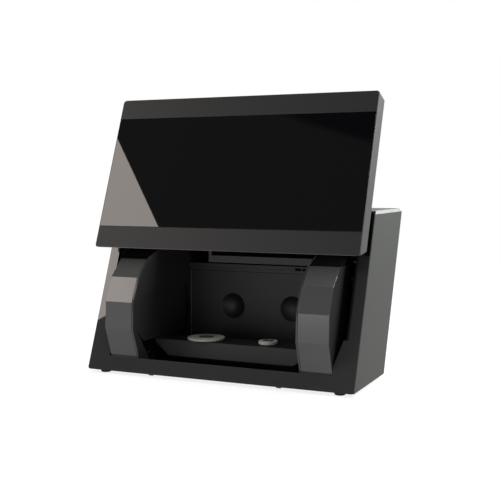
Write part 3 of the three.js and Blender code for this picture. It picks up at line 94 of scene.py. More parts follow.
def grain_group():
    """Fine moulded or sprayed texture, and slow drifts of tone and sheen across a surface."""
    group = bpy.data.node_groups.new("surface_grain", "ShaderNodeTree")
    face = group.interface
    for name, kind, value in (
        ("Colour", "NodeSocketColor", (0.5, 0.5, 0.5, 1)),
        ("Roughness", "NodeSocketFloat", 0.4),
        ("Grain Size", "NodeSocketFloat", 900.0),
        ("Drift Size", "NodeSocketFloat", 6.0),
        ("Colour Drift", "NodeSocketFloat", 0.1),
        ("Sheen Drift", "NodeSocketFloat", 0.05),
    ):
        socket = face.new_socket(name=name, in_out="INPUT", socket_type=kind)
        socket.default_value = value
    face.new_socket(name="Colour", in_out="OUTPUT", socket_type="NodeSocketColor")
    face.new_socket(name="Roughness", in_out="OUTPUT", socket_type="NodeSocketFloat")
    face.new_socket(name="Height", in_out="OUTPUT", socket_type="NodeSocketFloat")
    made, links = group.nodes, group.links
    given, out = made.new("NodeGroupInput"), made.new("NodeGroupOutput")
    where = made.new("ShaderNodeTexCoord")
    fine, slow = made.new("ShaderNodeTexNoise"), made.new("ShaderNodeTexNoise")
    for texture, size, detail in ((fine, "Grain Size", 3), (slow, "Drift Size", 2)):
        texture.inputs["Detail"].default_value = detail
        links.new(where.outputs["Object"], texture.inputs["Vector"])
        links.new(given.outputs[size], texture.inputs["Scale"])
    centred = made.new("ShaderNodeMath")
    centred.operation = "SUBTRACT"
    centred.inputs[1].default_value = 0.5
    links.new(slow.outputs["Fac"], centred.inputs[0])
    shade = made.new("ShaderNodeMath")
    shade.operation = "MULTIPLY_ADD"
    shade.inputs[2].default_value = 1.0
    links.new(centred.outputs[0], shade.inputs[0])
    links.new(given.outputs["Colour Drift"], shade.inputs[1])
    tinted = made.new("ShaderNodeVectorMath")
    tinted.operation = "SCALE"
    links.new(given.outputs["Colour"], tinted.inputs[0])
    links.new(shade.outputs[0], tinted.inputs["Scale"])
    sheen = made.new("ShaderNodeMath")
    sheen.operation = "MULTIPLY_ADD"
    links.new(centred.outputs[0], sheen.inputs[0])
    links.new(given.outputs["Sheen Drift"], sheen.inputs[1])
    links.new(given.outputs["Roughness"], sheen.inputs[2])
    links.new(tinted.outputs[0], out.inputs["Colour"])
    links.new(sheen.outputs[0], out.inputs["Roughness"])
    links.new(fine.outputs["Fac"], out.inputs["Height"])
    return group


surface_grain = grain_group()


def finish_of(name, colour, roughness, grain=900.0, depth=0.02 * MM, bump=0.15, drift=6.0,
              colour_drift=0.15, sheen_drift=0.08, metallic=0.0, specular=0.5):
    """A painted, moulded or machined surface: its colour and sheen drift, its grain is raised."""
    made = bpy.data.materials.new(name)
    made.use_nodes = True
    tree = made.node_tree
    shader = tree.nodes["Principled BSDF"]
    skin = tree.nodes.new("ShaderNodeGroup")
    skin.node_tree = surface_grain
    skin.inputs["Colour"].default_value = (*colour, 1)
    skin.inputs["Roughness"].default_value = roughness
    skin.inputs["Grain Size"].default_value = grain
    skin.inputs["Drift Size"].default_value = drift
    skin.inputs["Colour Drift"].default_value = colour_drift
    skin.inputs["Sheen Drift"].default_value = sheen_drift
    raised = tree.nodes.new("ShaderNodeBump")
    raised.inputs["Strength"].default_value = bump
    raised.inputs["Distance"].default_value = depth
    tree.links.new(skin.outputs["Colour"], shader.inputs["Base Color"])
    tree.links.new(skin.outputs["Roughness"], shader.inputs["Roughness"])
    tree.links.new(skin.outputs["Height"], raised.inputs["Height"])
    tree.links.new(raised.outputs["Normal"], shader.inputs["Normal"])
    shader.inputs["Metallic"].default_value = metallic
    shader.inputs["Specular IOR Level"].default_value = specular
    return made


def dressed(material, *names):
    """Pieces whose CAD shape is right as it is get their finish."""
    for name in names:
        nodes[name].data.materials.clear()
        nodes[name].data.materials.append(material)


coated_black = finish_of("coated_black", colour=(0.010, 0.010, 0.010), roughness=0.5,
                         grain=1200, specular=0.3)
dressed(coated_black, "base_plate", "motor_bracket")
for side in ("right", "left"):
    dressed(coated_black, f"chassis_side_{side}", f"door_rail_{side}", f"door_carriage_{side}",
            f"door_arm_{side}")

# Head beam, bearing blocks and power supply case: steel with a bright zinc coat. The beam spans
# the chassis sides, and the case is a folded box on the base plate.
zinc = finish_of("zinc", colour=(0.48, 0.49, 0.50), roughness=0.38, grain=300, metallic=1.0,
                 colour_drift=0.3)
dressed(zinc, "head_beam", "bearing_block_right", "bearing_block_left", "power_supply")

# Bearings, toothed sector, pinion, motors and pulley: turned and milled steel, left bare. They
# swing the cradle and spin the turntables. One black rubber belt runs round the pulley and both
# spindles.
machined = finish_of("machined", colour=(0.52, 0.52, 0.53), roughness=0.25, grain=1600,
                     metallic=1.0)
dressed(machined, "swing_bearing_right", "swing_bearing_left", "swing_sector", "swing_pinion",
        "swing_motor", "plate_motor", "drive_pulley")
rubber = finish_of("rubber", colour=(0.012, 0.012, 0.012), roughness=0.7, grain=1200, bump=0.3)
dressed(rubber, "plate_belt")

# Projector and cameras: aluminium bodies, anodised black, with glossy dark lenses. They hang
# from the roof of the head's cover and look down into the chamber.
anodised = finish_of("anodised_black", colour=(0.03, 0.03, 0.033), roughness=0.3, metallic=0.6)
dressed(anodised, "projector_body", "camera_body_right", "camera_body_left")
lens_dark = finish_of("lens_dark", colour=(0.008, 0.011, 0.02), roughness=0.04, bump=0.0)
dressed(lens_dark, "projector_lens", "camera_lens_right", "camera_lens_left")

# Main board: a flat laminate under green solder mask, which carries its larger chips. It stands
# on four posts behind the chamber.
board_green = finish_of("board_green", colour=(0.015, 0.10, 0.045), roughness=0.4, grain=700)
dressed(board_green, "main_board")

# Chamber wall, its rail, the head's cover, and the cradle's beam with its lower cover: mouldings
# in matt black plastic, so that they throw no light back at the cameras. The beam joins the
# swing plates, and the others are fixed to the casing.
CHAMBER_EDGE = 0.5 * MM
MERGE_GAP = 0.02 * MM
FLAT_WITHIN = math.radians(0.5)
FLAT_FACE_WEIGHT = 100


def only(made):
    """Selects one object alone and makes it active."""
    bpy.ops.object.select_all(action="DESELECT")
    made.select_set(True)
    bpy.context.view_layer.objects.active = made


def copied(node, **slicing):
    """A copy of a CAD piece to work on, its triangles merged and its flat faces made whole. A
    slice, where one is asked for, divides it along a plane or takes off what lies beyond."""
    made = bpy.data.objects.new(f"{node}_finished", nodes[node].data.copy())
    scene.collection.objects.link(made)
    only(made)
    bpy.ops.object.mode_set(mode="EDIT")
    bpy.ops.mesh.select_all(action="SELECT")
    bpy.ops.mesh.remove_doubles(threshold=MERGE_GAP)
    bpy.ops.mesh.dissolve_limited(angle_limit=FLAT_WITHIN)
    bpy.ops.mesh.delete_loose()
    if slicing:
        bpy.ops.mesh.select_all(action="SELECT")
        bpy.ops.mesh.bisect(**slicing)
    bpy.ops.object.mode_set(mode="OBJECT")
    return made


def edged(made, node, material, radius, segments=3, angle=30, smooth=35):
    """Breaks the edges of a copy, evens its shading, and puts it in place of its CAD piece."""
    only(made)
    bevel = made.modifiers.new("edges", "BEVEL")
    bevel.width = radius
    bevel.segments = segments
    bevel.limit_method = "ANGLE"
    bevel.angle_limit = math.radians(angle)
    bpy.ops.object.modifier_apply(modifier=bevel.name)
    bpy.ops.object.shade_smooth_by_angle(angle=math.radians(smooth))
    level = made.modifiers.new("level", "WEIGHTED_NORMAL")
    level.weight = FLAT_FACE_WEIGHT
    level.keep_sharp = True
    bpy.ops.object.modifier_apply(modifier=level.name)
    made.data.materials.clear()
    made.data.materials.append(material)
    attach(made, body_of(nodes[node])[0])
    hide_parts(node)
    return made


def rounded(node, material, radius, **options):
    """The piece's own shape with its edges broken."""
    return edged(copied(node), node, material, radius, **options)


chamber_black = finish_of("chamber_black", colour=(0.0125, 0.0125, 0.0135), roughness=0.5,
                          grain=1800, bump=0.2)
for name in ("chamber_wall", "wall_rail", "head_cover", "cradle_beam", "beam_cover"):
    rounded(name, chamber_black, CHAMBER_EDGE)

# Wall edge: a thin pale grey strip upright on the front of the chamber wall, along its left
# end: a painted highlight, for the light line where the wall's corner catches the light.
WALL_LIGHT_SIZE = (1.2 * MM, 1.5 * MM, 124 * MM)
WALL_LIGHT_EDGE = 0.4 * MM
WALL_LIGHT_INSET = 0.7 * MM
WALL_LIGHT_PROUD = 0.8816 * MM
WALL_LIGHT_DROP = 63 * MM


def strip(name, body, material, size, centre, radius, lean=0.0, segments=2, smooth=35):
    """A small strip, tab or pad, moulded or a sheet of painted light or shade: a block drawn out
    to size, its edges rounded.
    """
    bpy.ops.object.select_all(action="DESELECT")
    bpy.ops.mesh.primitive_cube_add(size=1)
    made = bpy.context.active_object
    made.name = name
    bpy.ops.object.mode_set(mode="EDIT")
    bpy.ops.mesh.select_all(action="SELECT")
    bpy.ops.transform.resize(value=size, center_override=(0, 0, 0))
    if lean:
        bpy.ops.transform.rotate(value=lean, orient_axis="X", center_override=(0, 0, 0))
    bpy.ops.transform.translate(value=centre)
    bpy.ops.object.mode_set(mode="OBJECT")
    bevel = made.modifiers.new("edges", "BEVEL")
    bevel.width = radius
    bevel.segments = segments
    bpy.ops.object.modifier_apply(modifier=bevel.name)
    bpy.ops.object.shade_smooth_by_angle(angle=math.radians(smooth))
    made.data.materials.append(material)
    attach(made, body)


# The strip's pale grey is a painted highlight along the wall's left corner.
wall_edge_painted_highlight = finish_of("wall_edge_painted_highlight", colour=(0.24, 0.24, 0.25), roughness=0.4, grain=1500)
wall_low, wall_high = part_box("chamber_wall")
strip("wall_edge", "housing", wall_edge_painted_highlight, size=WALL_LIGHT_SIZE, radius=WALL_LIGHT_EDGE,
      centre=(wall_low.x + WALL_LIGHT_INSET, wall_low.y - WALL_LIGHT_PROUD, wall_high.z - WALL_LIGHT_DROP))

# Rail buffers and head shade: the buffers are two small rubber pads glued to the front of the
# wall's rail, flocked black. The head shade is a black sheet in the recess behind the head's
# lip: painted shade, for the shade that falls there under the door. The same near-black also
# paints shade and shadow on the wings, the hole rims and the frame's outer strips.
BUFFERS = ((63 * MM, 9 * MM), (72.5 * MM, 4 * MM))
BUFFER_THICK = 1.2 * MM
BUFFER_HEIGHT = 3.6 * MM
BUFFER_EDGE = 0.3 * MM
BUFFER_PROUD = 0.8816 * MM
BUFFER_DROP = 4.8 * MM
SHADE_SIZE = (168.5 * MM, 1.4 * MM, 30 * MM)
SHADE_EDGE = 0.4 * MM
SHADE_SHIFT = 2.5 * MM
SHADE_DEPTH = 5.1184 * MM
SHADE_RISE = 26 * MM

flock_and_painted_shade = finish_of("flock_and_painted_shade", colour=(0.004, 0.004, 0.004), roughness=0.95, grain=2500, bump=0.4,
                  specular=0.03)
rail_low, rail_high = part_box("wall_rail")
for x, width in BUFFERS:
    strip(f"rail_buffer_{width / MM:.0f}", "housing", flock_and_painted_shade, radius=BUFFER_EDGE,
          size=(width, BUFFER_THICK, BUFFER_HEIGHT),
          centre=(x, rail_low.y - BUFFER_PROUD, rail_high.z - BUFFER_DROP))
head_low, head_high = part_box("head_cover")
# The head shade's black is painted shade in the recess behind the lip.
strip("head_recess_painted_shade", "housing", flock_and_painted_shade, size=SHADE_SIZE, radius=SHADE_EDGE,
      centre=((head_low.x + head_high.x) / 2 + SHADE_SHIFT, head_low.y + SHADE_DEPTH,
              head_low.z + SHADE_RISE))

# Wings: two drums with flat sides, moulded in semi-gloss grey plastic and fixed to the casing,
# which hide the cradle's bearings. Above a level line their upper part is painted black, a
# painted shadow of the overhanging door, and their flat ends are matt and painted nearly black,
# a painted shade for the dark gap beside them.
WING_EDGE = 0.3 * MM
WING_PAINTED_SHADOW_FROM = 166.6 * MM
END_FACING = 0.9


def refaced(made, material, wanted):
    """A further material on the faces that a test picks: a finish, or painted light or shade."""
    made.data.materials.append(material)
    for face in made.data.polygons:
        if wanted(face):
            face.material_index = len(made.data.materials) - 1


wing_grey = finish_of("wing_grey", colour=(0.088, 0.089, 0.089), roughness=0.14, grain=1200,
                      bump=0.06)
wing_end_painted_shade = finish_of("wing_end_painted_shade", colour=(0.011, 0.011, 0.0115), roughness=0.6, grain=1200,
                      specular=0.2)
for side in ("right", "left"):
    drum = copied(f"wing_shell_{side}", plane_co=(0, 0, WING_PAINTED_SHADOW_FROM), plane_no=(0, 0, 1))
    edged(drum, f"wing_shell_{side}", wing_grey, WING_EDGE, angle=15, smooth=12)
    # Painted shade: the flat ends are made nearly black for the dark gap beside the wings.
    refaced(drum, wing_end_painted_shade, lambda face: abs(face.normal.x) > END_FACING)
    # Painted shadow: the faces above the cut line are made black where the door's shadow falls.
    refaced(drum, flock_and_painted_shade, lambda face: face.center.z > WING_PAINTED_SHADOW_FROM)

# Wing cheeks and swing plates: flat mouldings in dark grey plastic. The cheeks close the wings'
# inner sides, and the cradle's plates turn in their round holes. The rims there are painted
# near-black, a painted shade for the dark gap between cheek and plate.
CHEEK_EDGE = 0.2 * MM
HOLE_REACH = 76 * MM

cheek_grey = finish_of("cheek_grey", colour=(0.050, 0.050, 0.050), roughness=0.3, grain=1200)
swing = next(joint for joint in frame["joints"] if joint["name"] == "cradle_swing")
swing_y, swing_z = swing["pos_m"][1:]


def painted_shade_rim(face):
    """Whether a face is part of the rim at the round hole."""
    reach = math.hypot(face.center.y - swing_y, face.center.z - swing_z)
    return abs(face.normal.x) < END_FACING and reach < HOLE_REACH


# The rims at the round holes are painted near-black: painted shade in the gap between the parts.
for side in ("right", "left"):
    for name in (f"wing_cheek_{side}", f"swing_plate_{side}"):
        refaced(rounded(name, cheek_grey, CHEEK_EDGE), flock_and_painted_shade, painted_shade_rim)

# Front frame: one gloss moulding in grey black, as smooth as a mirror, that closes the leaning
# front round the opening. Two small clips hold it below. Its faces turned sideways are dull
# and nearly black: a painted shade for the dark lines along its outer edges.
BEZEL_EDGE = 0.4 * MM
SIDEWAYS_FACING = 0.6
CLIP_SIZE = (7 * MM, 4 * MM, 1.6 * MM)
CLIP_EDGE = 0.5 * MM
CLIP_SPREAD = 99 * MM
CLIP_BACK = 3.3184 * MM
CLIP_DROP = 0.9 * MM

frame_gloss = finish_of("frame_gloss", colour=(0.043, 0.044, 0.044), roughness=0.02, grain=60,
                        depth=0.05 * MM, bump=0.0, sheen_drift=0.005)
frame_side_painted_shade = finish_of("frame_side_painted_shade", colour=(0.010, 0.010, 0.010), roughness=0.6, grain=1500,
                       specular=0.15)
bezel = rounded("front_frame", frame_gloss, BEZEL_EDGE)
# Painted shade: the sideways faces are made nearly black for the dark lines along the frame.
refaced(bezel, frame_side_painted_shade, lambda face: abs(face.normal.x) > SIDEWAYS_FACING)
bezel_low, bezel_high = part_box("front_frame")
for side, x in (("right", CLIP_SPREAD), ("left", -CLIP_SPREAD)):
    strip(f"frame_clip_{side}", "housing", frame_gloss, size=CLIP_SIZE,
          centre=(x, bezel_low.y + CLIP_BACK, bezel_low.z - CLIP_DROP), radius=CLIP_EDGE)

# Frame shade strips: two thin black sheets up the frame's outer edges, where the door's sides
# pass: painted shade, for the shade and dark reflection of the door there.
LEAN = math.radians(21.2)
FRAME_SHADE_SIZE = (6 * MM, 1 * MM, 60 * MM)
FRAME_SHADE_EDGE = 0.3 * MM
FRAME_SHADE_INSET = 3.5 * MM
FRAME_SHADE_UP = 218.7747 * MM
FRAME_SHADE_OUT = 0.6392 * MM


def on_front(x, up, out):
    """A place so far up the slope of the leaning front, and so far out from it."""
    return (x, bezel_low.y + up * math.sin(LEAN) - out * math.cos(LEAN),
            bezel_low.z + up * math.cos(LEAN) + out * math.sin(LEAN))


# Each strip is painted shade, black where the door shades the frame and darkens its reflection.
for side, x in (("right", bezel_high.x - FRAME_SHADE_INSET), ("left", bezel_low.x + FRAME_SHADE_INSET)):
    strip(f"frame_painted_shade_{side}", "housing", flock_and_painted_shade, size=FRAME_SHADE_SIZE,
          centre=on_front(x, FRAME_SHADE_UP, FRAME_SHADE_OUT), radius=FRAME_SHADE_EDGE, lean=LEAN)

# Side panels: flat metal castings painted in a satin grey, one fixed on each side. The chamfer
# along their top edge has a paler, half-metallic colour: a painted highlight, beside the real
# reflection of the lamp behind the machine.
PANEL_EDGE = 0.25 * MM
CHAMFER_FACING = 0.4

panel_paint = finish_of("panel_paint", colour=(0.033, 0.0355, 0.032), roughness=0.58, grain=1400,
                        bump=0.12, drift=4, specular=0.3)
chamfer_painted_highlight = finish_of("chamfer_painted_highlight", colour=(0.13, 0.134, 0.13), roughness=0.45,
                          grain=1800, metallic=0.5)


def chamfer(face):
    """Whether a face leans both sideways and up."""
    return abs(face.normal.x) > CHAMFER_FACING and face.normal.z > CHAMFER_FACING


# Painted highlight: the chamfer faces get a paler, half-metallic colour.
for side in ("right", "left"):
    refaced(rounded(f"side_panel_{side}", panel_paint, PANEL_EDGE), chamfer_painted_highlight, chamfer)

# Lid and rear housing: satin plastic mouldings in dark grey. The lid lies between the side
# panels, and the housing, a leaning flange with a hollow hump behind it, closes the back.
SHELL_EDGE = 0.5 * MM

shell_grey = finish_of("shell_grey", colour=(0.045, 0.046, 0.046), roughness=0.52, grain=1500,
                       bump=0.15, specular=0.35)
for name in ("top_cover", "rear_housing"):
    rounded(name, shell_grey, SHELL_EDGE)

# Fan, power inlet, power switch and data socket: black plastic mouldings at the machine's back,
# the fan behind the vents and the others in the cover. The data socket is a zinc-plated shell.
FITTING_EDGE = 0.25 * MM
SOCKET_EDGE = 0.2 * MM

electrical = finish_of("electrical_black", colour=(0.014, 0.014, 0.015), roughness=0.35,
                       grain=1500)
dressed(electrical, "fan_rotor")
for name in ("power_inlet", "switch_body", "power_rocker", "fan_housing"):
    rounded(name, electrical, FITTING_EDGE, segments=2)
rounded("data_socket", zinc, SOCKET_EDGE, segments=2)

# Rear cover: a flat moulding in the housing's grey that fills the hump's open back, with vent
# slots. Four black socket screws hold it, in round recesses at its corners.
COVER_EDGE = 0.25 * MM
SCREW_INSET = 8.7 * MM
SCREW_RADIUS = 3.2 * MM
SCREW_HEIGHT = 1.2 * MM
SCREW_SUNK = 0.8316 * MM
SCREW_SIDES = 24
RECESS_RADIUS = 3.8 * MM
RECESS_DEPTH = 1.4816 * MM
RECESS_SIDES = 32
CUTTER_LENGTH = 3 * MM
FACING_BACK = math.pi / 2
FACING_UP = 0.9
RIM_SHARE = 0.55
SUNK_SHARE = 0.6
EDGE_SHARE = 0.12


def pressed(name, body, material, radius, height, centre, sides=32, turn=0.0, segments=2,
            smooth=35):
    """A low disc with a sunk middle, such as a magnet or a screw head with its socket. The first
    disc made comes out doubled and without its sunk middle, because edit mode then still selects
    by points and takes every face. That is the cover's low right screw."""
    bpy.ops.object.select_all(action="DESELECT")
    bpy.ops.mesh.primitive_cylinder_add(vertices=sides, radius=radius, depth=height)
    made = bpy.context.active_object
    made.name = name
    for face in made.data.polygons:
        face.select = face.normal.z > FACING_UP
    bpy.ops.object.mode_set(mode="EDIT")
    bpy.ops.mesh.select_mode(type="FACE")
    bpy.ops.mesh.inset(thickness=RIM_SHARE * radius)
    sunk = (0, 0, -SUNK_SHARE * height)
    bpy.ops.mesh.extrude_region_move(TRANSFORM_OT_translate={"value": sunk})
    bpy.ops.mesh.select_all(action="SELECT")
    bpy.ops.transform.rotate(value=turn, orient_axis="X", center_override=(0, 0, 0))
    bpy.ops.transform.translate(value=centre)
    bpy.ops.object.mode_set(mode="OBJECT")
    bevel = made.modifiers.new("edges", "BEVEL")
    bevel.width = EDGE_SHARE * height
    bevel.segments = segments
    bevel.limit_method = "ANGLE"
    bpy.ops.object.modifier_apply(modifier=bevel.name)
    bpy.ops.object.shade_smooth_by_angle(angle=math.radians(smooth))
    made.data.materials.append(material)
    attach(made, body)


screw_black = finish_of("screw_black", colour=(0.02, 0.02, 0.021), roughness=0.35, grain=1800,
                        metallic=0.8)
cover = copied("rear_cover")
cover_low, cover_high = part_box("rear_cover")
for level, z in (("low", cover_low.z + SCREW_INSET), ("high", cover_high.z - SCREW_INSET)):
    for side, x in (("right", cover_high.x - SCREW_INSET), ("left", cover_low.x + SCREW_INSET)):
        bpy.ops.object.select_all(action="DESELECT")
        middle = cover_high.y - RECESS_DEPTH + CUTTER_LENGTH / 2
        bpy.ops.mesh.primitive_cylinder_add(vertices=RECESS_SIDES, radius=RECESS_RADIUS,
                                            depth=CUTTER_LENGTH, location=(x, middle, z),
                                            rotation=(FACING_BACK, 0, 0))
        cutter = bpy.context.active_object
        only(cover)
        sunk = cover.modifiers.new("recess", "BOOLEAN")
        sunk.object = cutter
        bpy.ops.object.modifier_apply(modifier=sunk.name)
        bpy.data.objects.remove(cutter)
        pressed(f"cover_screw_{level}_{side}", "housing", screw_black,
                SCREW_RADIUS, SCREW_HEIGHT, (x, cover_high.y - SCREW_SUNK, z),
                sides=SCREW_SIDES, turn=FACING_BACK)
edged(cover, "rear_cover", shell_grey, COVER_EDGE, segments=2)

# Turntables: round plates moulded in pale plastic, in one piece with the spindles that turn in
# the beam. A thin magnetic disc of steel, with a sunk middle, lies on each.
TURNTABLE_EDGE = 0.3 * MM
MAGNETS = (("left", 11 * MM), ("right", 8 * MM))
MAGNET_THICK = 0.6 * MM

plate_pale = finish_of("plate_pale", colour=(0.50, 0.49, 0.46), roughness=0.5, grain=1500)
magnet_steel = finish_of("magnet_steel", colour=(0.42, 0.43, 0.45), roughness=0.28, grain=1600,
                         metallic=1.0)
for side, radius in MAGNETS:
    rounded(f"turntable_{side}", plate_pale, TURNTABLE_EDGE)
    low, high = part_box(f"turntable_{side}")
    centre = ((low.x + high.x) / 2, (low.y + high.y) / 2, high.z + MAGNET_THICK / 2)
    pressed(f"magnet_{side}", body_of(nodes[f"turntable_{side}"])[0],
            magnet_steel, radius, MAGNET_THICK, centre)

# Door: a satin shell with round corners, moulded in dark grey and ribbed behind, on two arms.
# Its lower end is cut level, with a lip along the front whose pale colour is a painted
# highlight of the edge, and its back is painted near-black, a painted shade.
DOOR_EDGE = 0.8 * MM
DOOR_FOOT = (0, -118.9 * MM, 184.2 * MM)
DOOR_FOOT_FACING = (0, 0.12, -1)
DOOR_BACK = Vector((0, math.cos(LEAN), -math.sin(LEAN)))
BACK_FACING = 0.5
LIP_SIZE = (398 * MM, 0.9 * MM, 0.7 * MM)
LIP_EDGE = 0.2 * MM
LIP_UP = 175.3812 * MM
LIP_OUT = 43.6584 * MM

door_grey = finish_of("door_grey", colour=(0.0245, 0.026, 0.0265), roughness=0.55, grain=1500,
                      bump=0.12, specular=0.4)
door_back_painted_shade = finish_of("door_back_painted_shade", colour=(0.006, 0.006, 0.006), roughness=0.6, grain=1500,
                      specular=0.2)
lip_painted_highlight = finish_of("lip_painted_highlight", colour=(0.12, 0.12, 0.128), roughness=0.35, grain=1500)
shell = copied("door_shell", plane_co=DOOR_FOOT, plane_no=DOOR_FOOT_FACING, use_fill=True,
               clear_outer=True)
edged(shell, "door_shell", door_grey, DOOR_EDGE)
# Painted shade: the faces turned back are made near-black.
refaced(shell, door_back_painted_shade, lambda face: face.normal.dot(DOOR_BACK) > BACK_FACING)
# The lip's pale colour is a painted highlight along the door's lower edge.
strip("door_lip", "door", lip_painted_highlight, size=LIP_SIZE,
      centre=on_front(0, LIP_UP, LIP_OUT), radius=LIP_EDGE, lean=LEAN)

# Door window: a pane moulded in dark gloss plastic with a mirror polish. It is set into the
# front of the door's shell, flush with its face.
WINDOW_EDGE = 0.25 * MM

window_gloss = finish_of("window_gloss", colour=(0.0045, 0.0045, 0.0055), roughness=0.015,
                         grain=30, bump=0.0, colour_drift=0.1, sheen_drift=0.005)
rounded("door_window", window_gloss, WINDOW_EDGE)

# Feet: four round pads moulded in black rubber, widest a little above the floor. They are fixed
# under the base plate, one at each corner.
FOOT_EDGE = 0.8 * MM

for corner in ("front_right", "front_left", "rear_right", "rear_left"):
    rounded(f"foot_{corner}", rubber, FOOT_EDGE)

# The floor is a wide pale table. The camera and the shiny parts see it nearly white, and it
# keeps the machine's soft shadow.
FLOOR_SIZE = 40
FLOOR_DROP = 0.2 * MM
FLOOR_GLOW = 0.84
FLOOR_PALE = (0.25, 0.25, 0.25)


def seen_directly(tree):
    """One where a ray comes straight from the camera, a shiny part or through glass, else zero."""
    path = tree.nodes.new("ShaderNodeLightPath")
    sight = tree.nodes.new("ShaderNodeMath")
    sight.operation = "ADD"
    tree.links.new(path.outputs["Is Camera Ray"], sight.inputs[0])
    tree.links.new(path.outputs["Is Glossy Ray"], sight.inputs[1])
    through = tree.nodes.new("ShaderNodeMath")
    through.operation = "ADD"
    through.use_clamp = True
    tree.links.new(sight.outputs[0], through.inputs[0])
    tree.links.new(path.outputs["Is Transmission Ray"], through.inputs[1])
    return path, through


floor_pale = bpy.data.materials.new("floor_pale")
floor_pale.use_nodes = True
tree = floor_pale.node_tree
shader = tree.nodes["Principled BSDF"]
shader.inputs["Base Color"].default_value = (*FLOOR_PALE, 1)
shader.inputs["Roughness"].default_value = 0.9
shader.inputs["Specular IOR Level"].default_value = 0.0
shader.inputs["Emission Color"].default_value = (1, 1, 1, 1)
path, sight = seen_directly(tree)
glow = tree.nodes.new("ShaderNodeMath")
glow.operation = "MULTIPLY"
glow.inputs[1].default_value = FLOOR_GLOW
tree.links.new(sight.outputs[0], glow.inputs[0])
tree.links.new(glow.outputs[0], shader.inputs["Emission Strength"])
bpy.ops.mesh.primitive_plane_add(size=FLOOR_SIZE, location=(0, 0, -FLOOR_DROP))
floor = bpy.context.active_object
floor.name = "floor"
floor.data.materials.append(floor_pale)

# The room: a white wall behind the machine, which the camera and the shiny parts see, and a dim
# studio in front of it. Everything else gets a plain light that comes mostly from above.
UPWARD = (0, 0, 1)
LIGHT_ABOVE = 1.20
LIGHT_LEVEL = 0.10
LIGHT_FROM = 0.4
LIGHT_TO = 1.0
STUDIO_DIM = 0.09
STUDIO_TOP = 0.676
STUDIO_EDGE = 0.004
WALL_SIDE = (0.45, 1.0, 0.0)
WALL_FROM = 0.05
WALL_TO = 0.45

world = bpy.data.worlds.new("studio")
scene.world = world
world.use_nodes = True
tree = world.node_tree
sky = tree.nodes["Background"]
sky.inputs["Color"].default_value = (1, 1, 1, 1)
where = tree.nodes.new("ShaderNodeTexCoord")


def ramp_along(direction, start, end, low, high):
    """A smooth rise of light from one side of the room to the other."""
    along = tree.nodes.new("ShaderNodeVectorMath")
    along.operation = "DOT_PRODUCT"
    along.inputs[1].default_value = direction
    tree.links.new(where.outputs["Generated"], along.inputs[0])
    rise = tree.nodes.new("ShaderNodeMapRange")
    rise.interpolation_type = "SMOOTHSTEP"
    rise.inputs["From Min"].default_value = start
    rise.inputs["From Max"].default_value = end
    rise.inputs["To Min"].default_value = low
    rise.inputs["To Max"].default_value = high
    tree.links.new(along.outputs["Value"], rise.inputs["Value"])
    return rise


def chosen(factor, first, second):
    """A blend of two light levels; a level is a value or another node."""
    blend = tree.nodes.new("ShaderNodeMix")
    blend.data_type = "FLOAT"
    tree.links.new(factor, blend.inputs["Factor"])
    for socket, level in (("A", first), ("B", second)):
        if isinstance(level, float):
            blend.inputs[socket].default_value = level
        else:
            tree.links.new(level, blend.inputs[socket])
    return blend


studio = ramp_along(UPWARD, STUDIO_TOP - STUDIO_EDGE, STUDIO_TOP + STUDIO_EDGE, STUDIO_DIM, 0.0)
wall = ramp_along(WALL_SIDE, WALL_FROM, WALL_TO, 0.0, 1.0)
tree.links.new(studio.outputs["Result"], wall.inputs["To Min"])
above = ramp_along(UPWARD, LIGHT_FROM, LIGHT_TO, LIGHT_LEVEL, LIGHT_ABOVE)
path, sight = seen_directly(tree)
room = chosen(sight.outputs[0], above.outputs["Result"], wall.outputs["Result"])
shown = chosen(path.outputs["Is Camera Ray"], room.outputs["Result"], 1.0)
tree.links.new(shown.outputs["Result"], sky.inputs["Strength"])

# One large softbox stands high on the left and in front, turned in its stand, so that its edge
# cuts across the door's window.
SOFTBOX_CENTRE = Vector((-1.0924, -1.0924, 1.0183))
SOFTBOX_FACING = Vector((-0.62, -0.62, 0.48)).normalized()
SOFTBOX_WIDTH = 0.75
SOFTBOX_HEIGHT = 0.65
SOFTBOX_CORNER = (0.322, 0.011)
SOFTBOX_RUN = 0.794
SOFTBOX_RISE = 0.607
SOFTBOX_POWER = 8.8
SOFTBOX_WARM = (1.0, 0.90, 0.85)

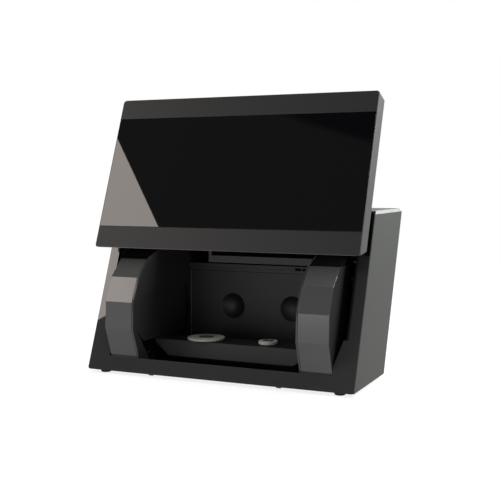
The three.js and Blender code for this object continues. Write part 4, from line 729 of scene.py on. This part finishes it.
across = (-SOFTBOX_FACING).cross(Vector(UPWARD)).normalized()
upward = across.cross(-SOFTBOX_FACING)
corner = SOFTBOX_CENTRE + across * SOFTBOX_CORNER[0] + upward * SOFTBOX_CORNER[1]
edge_long = across * -SOFTBOX_RUN + upward * SOFTBOX_RISE
edge_short = across * -SOFTBOX_RISE + upward * -SOFTBOX_RUN
softbox_light = bpy.data.lights.new("softbox", "AREA")
softbox_light.shape = "RECTANGLE"
softbox_light.size = SOFTBOX_WIDTH
softbox_light.size_y = SOFTBOX_HEIGHT
softbox_light.energy = SOFTBOX_POWER
softbox_light.color = SOFTBOX_WARM
softbox = bpy.data.objects.new("softbox", softbox_light)
scene.collection.objects.link(softbox)
place = corner + edge_long * (SOFTBOX_WIDTH / 2) + edge_short * (SOFTBOX_HEIGHT / 2)
facing = edge_long.cross(edge_short)
turn = Matrix((edge_long, edge_short, facing)).transposed()
if (turn @ Vector((0, 0, -1))).dot(-SOFTBOX_FACING) < 0:
    turn = Matrix((edge_long, -edge_short, -facing)).transposed()
softbox.matrix_world = Matrix.Translation(place) @ turn.to_4x4()

# Three square lamps. One behind the machine draws the bright line along the side panel's
# chamfer, a low one in front reaches under the door, into the chamber and onto the drums, and a
# small one high beside the machine on its right brings out the top of the side panel.
RIM_PLACE = (0.30, 1.40, 0.87)
RIM_AIM = (0.0, 0.0, 0.20)
RIM_SIZE = 0.5
RIM_POWER = 3.8
FILL_PLACE = (-0.20, -1.50, 0.15)
FILL_AIM = (0.0, -0.10, 0.10)
FILL_SIZE = 0.6
FILL_POWER = 2.0
SIDE_PLACE = (0.58, 0.10, 0.52)
SIDE_AIM = (0.205, 0.0, 0.20)
SIDE_SIZE = 0.25
SIDE_POWER = 5.0


def lamp(name, size, power, place, aim):
    """A square lamp that stands at one place and shines at another."""
    light = bpy.data.lights.new(name, "AREA")
    light.size = size
    light.energy = power
    stand = bpy.data.objects.new(name, light)
    scene.collection.objects.link(stand)
    stand.location = place
    stand.rotation_euler = (Vector(aim) - stand.location).to_track_quat("-Z", "Y").to_euler()


lamp("rim_lamp", RIM_SIZE, RIM_POWER, RIM_PLACE, RIM_AIM)
lamp("front_fill", FILL_SIZE, FILL_POWER, FILL_PLACE, FILL_AIM)
lamp("side_lamp", SIDE_SIZE, SIDE_POWER, SIDE_PLACE, SIDE_AIM)
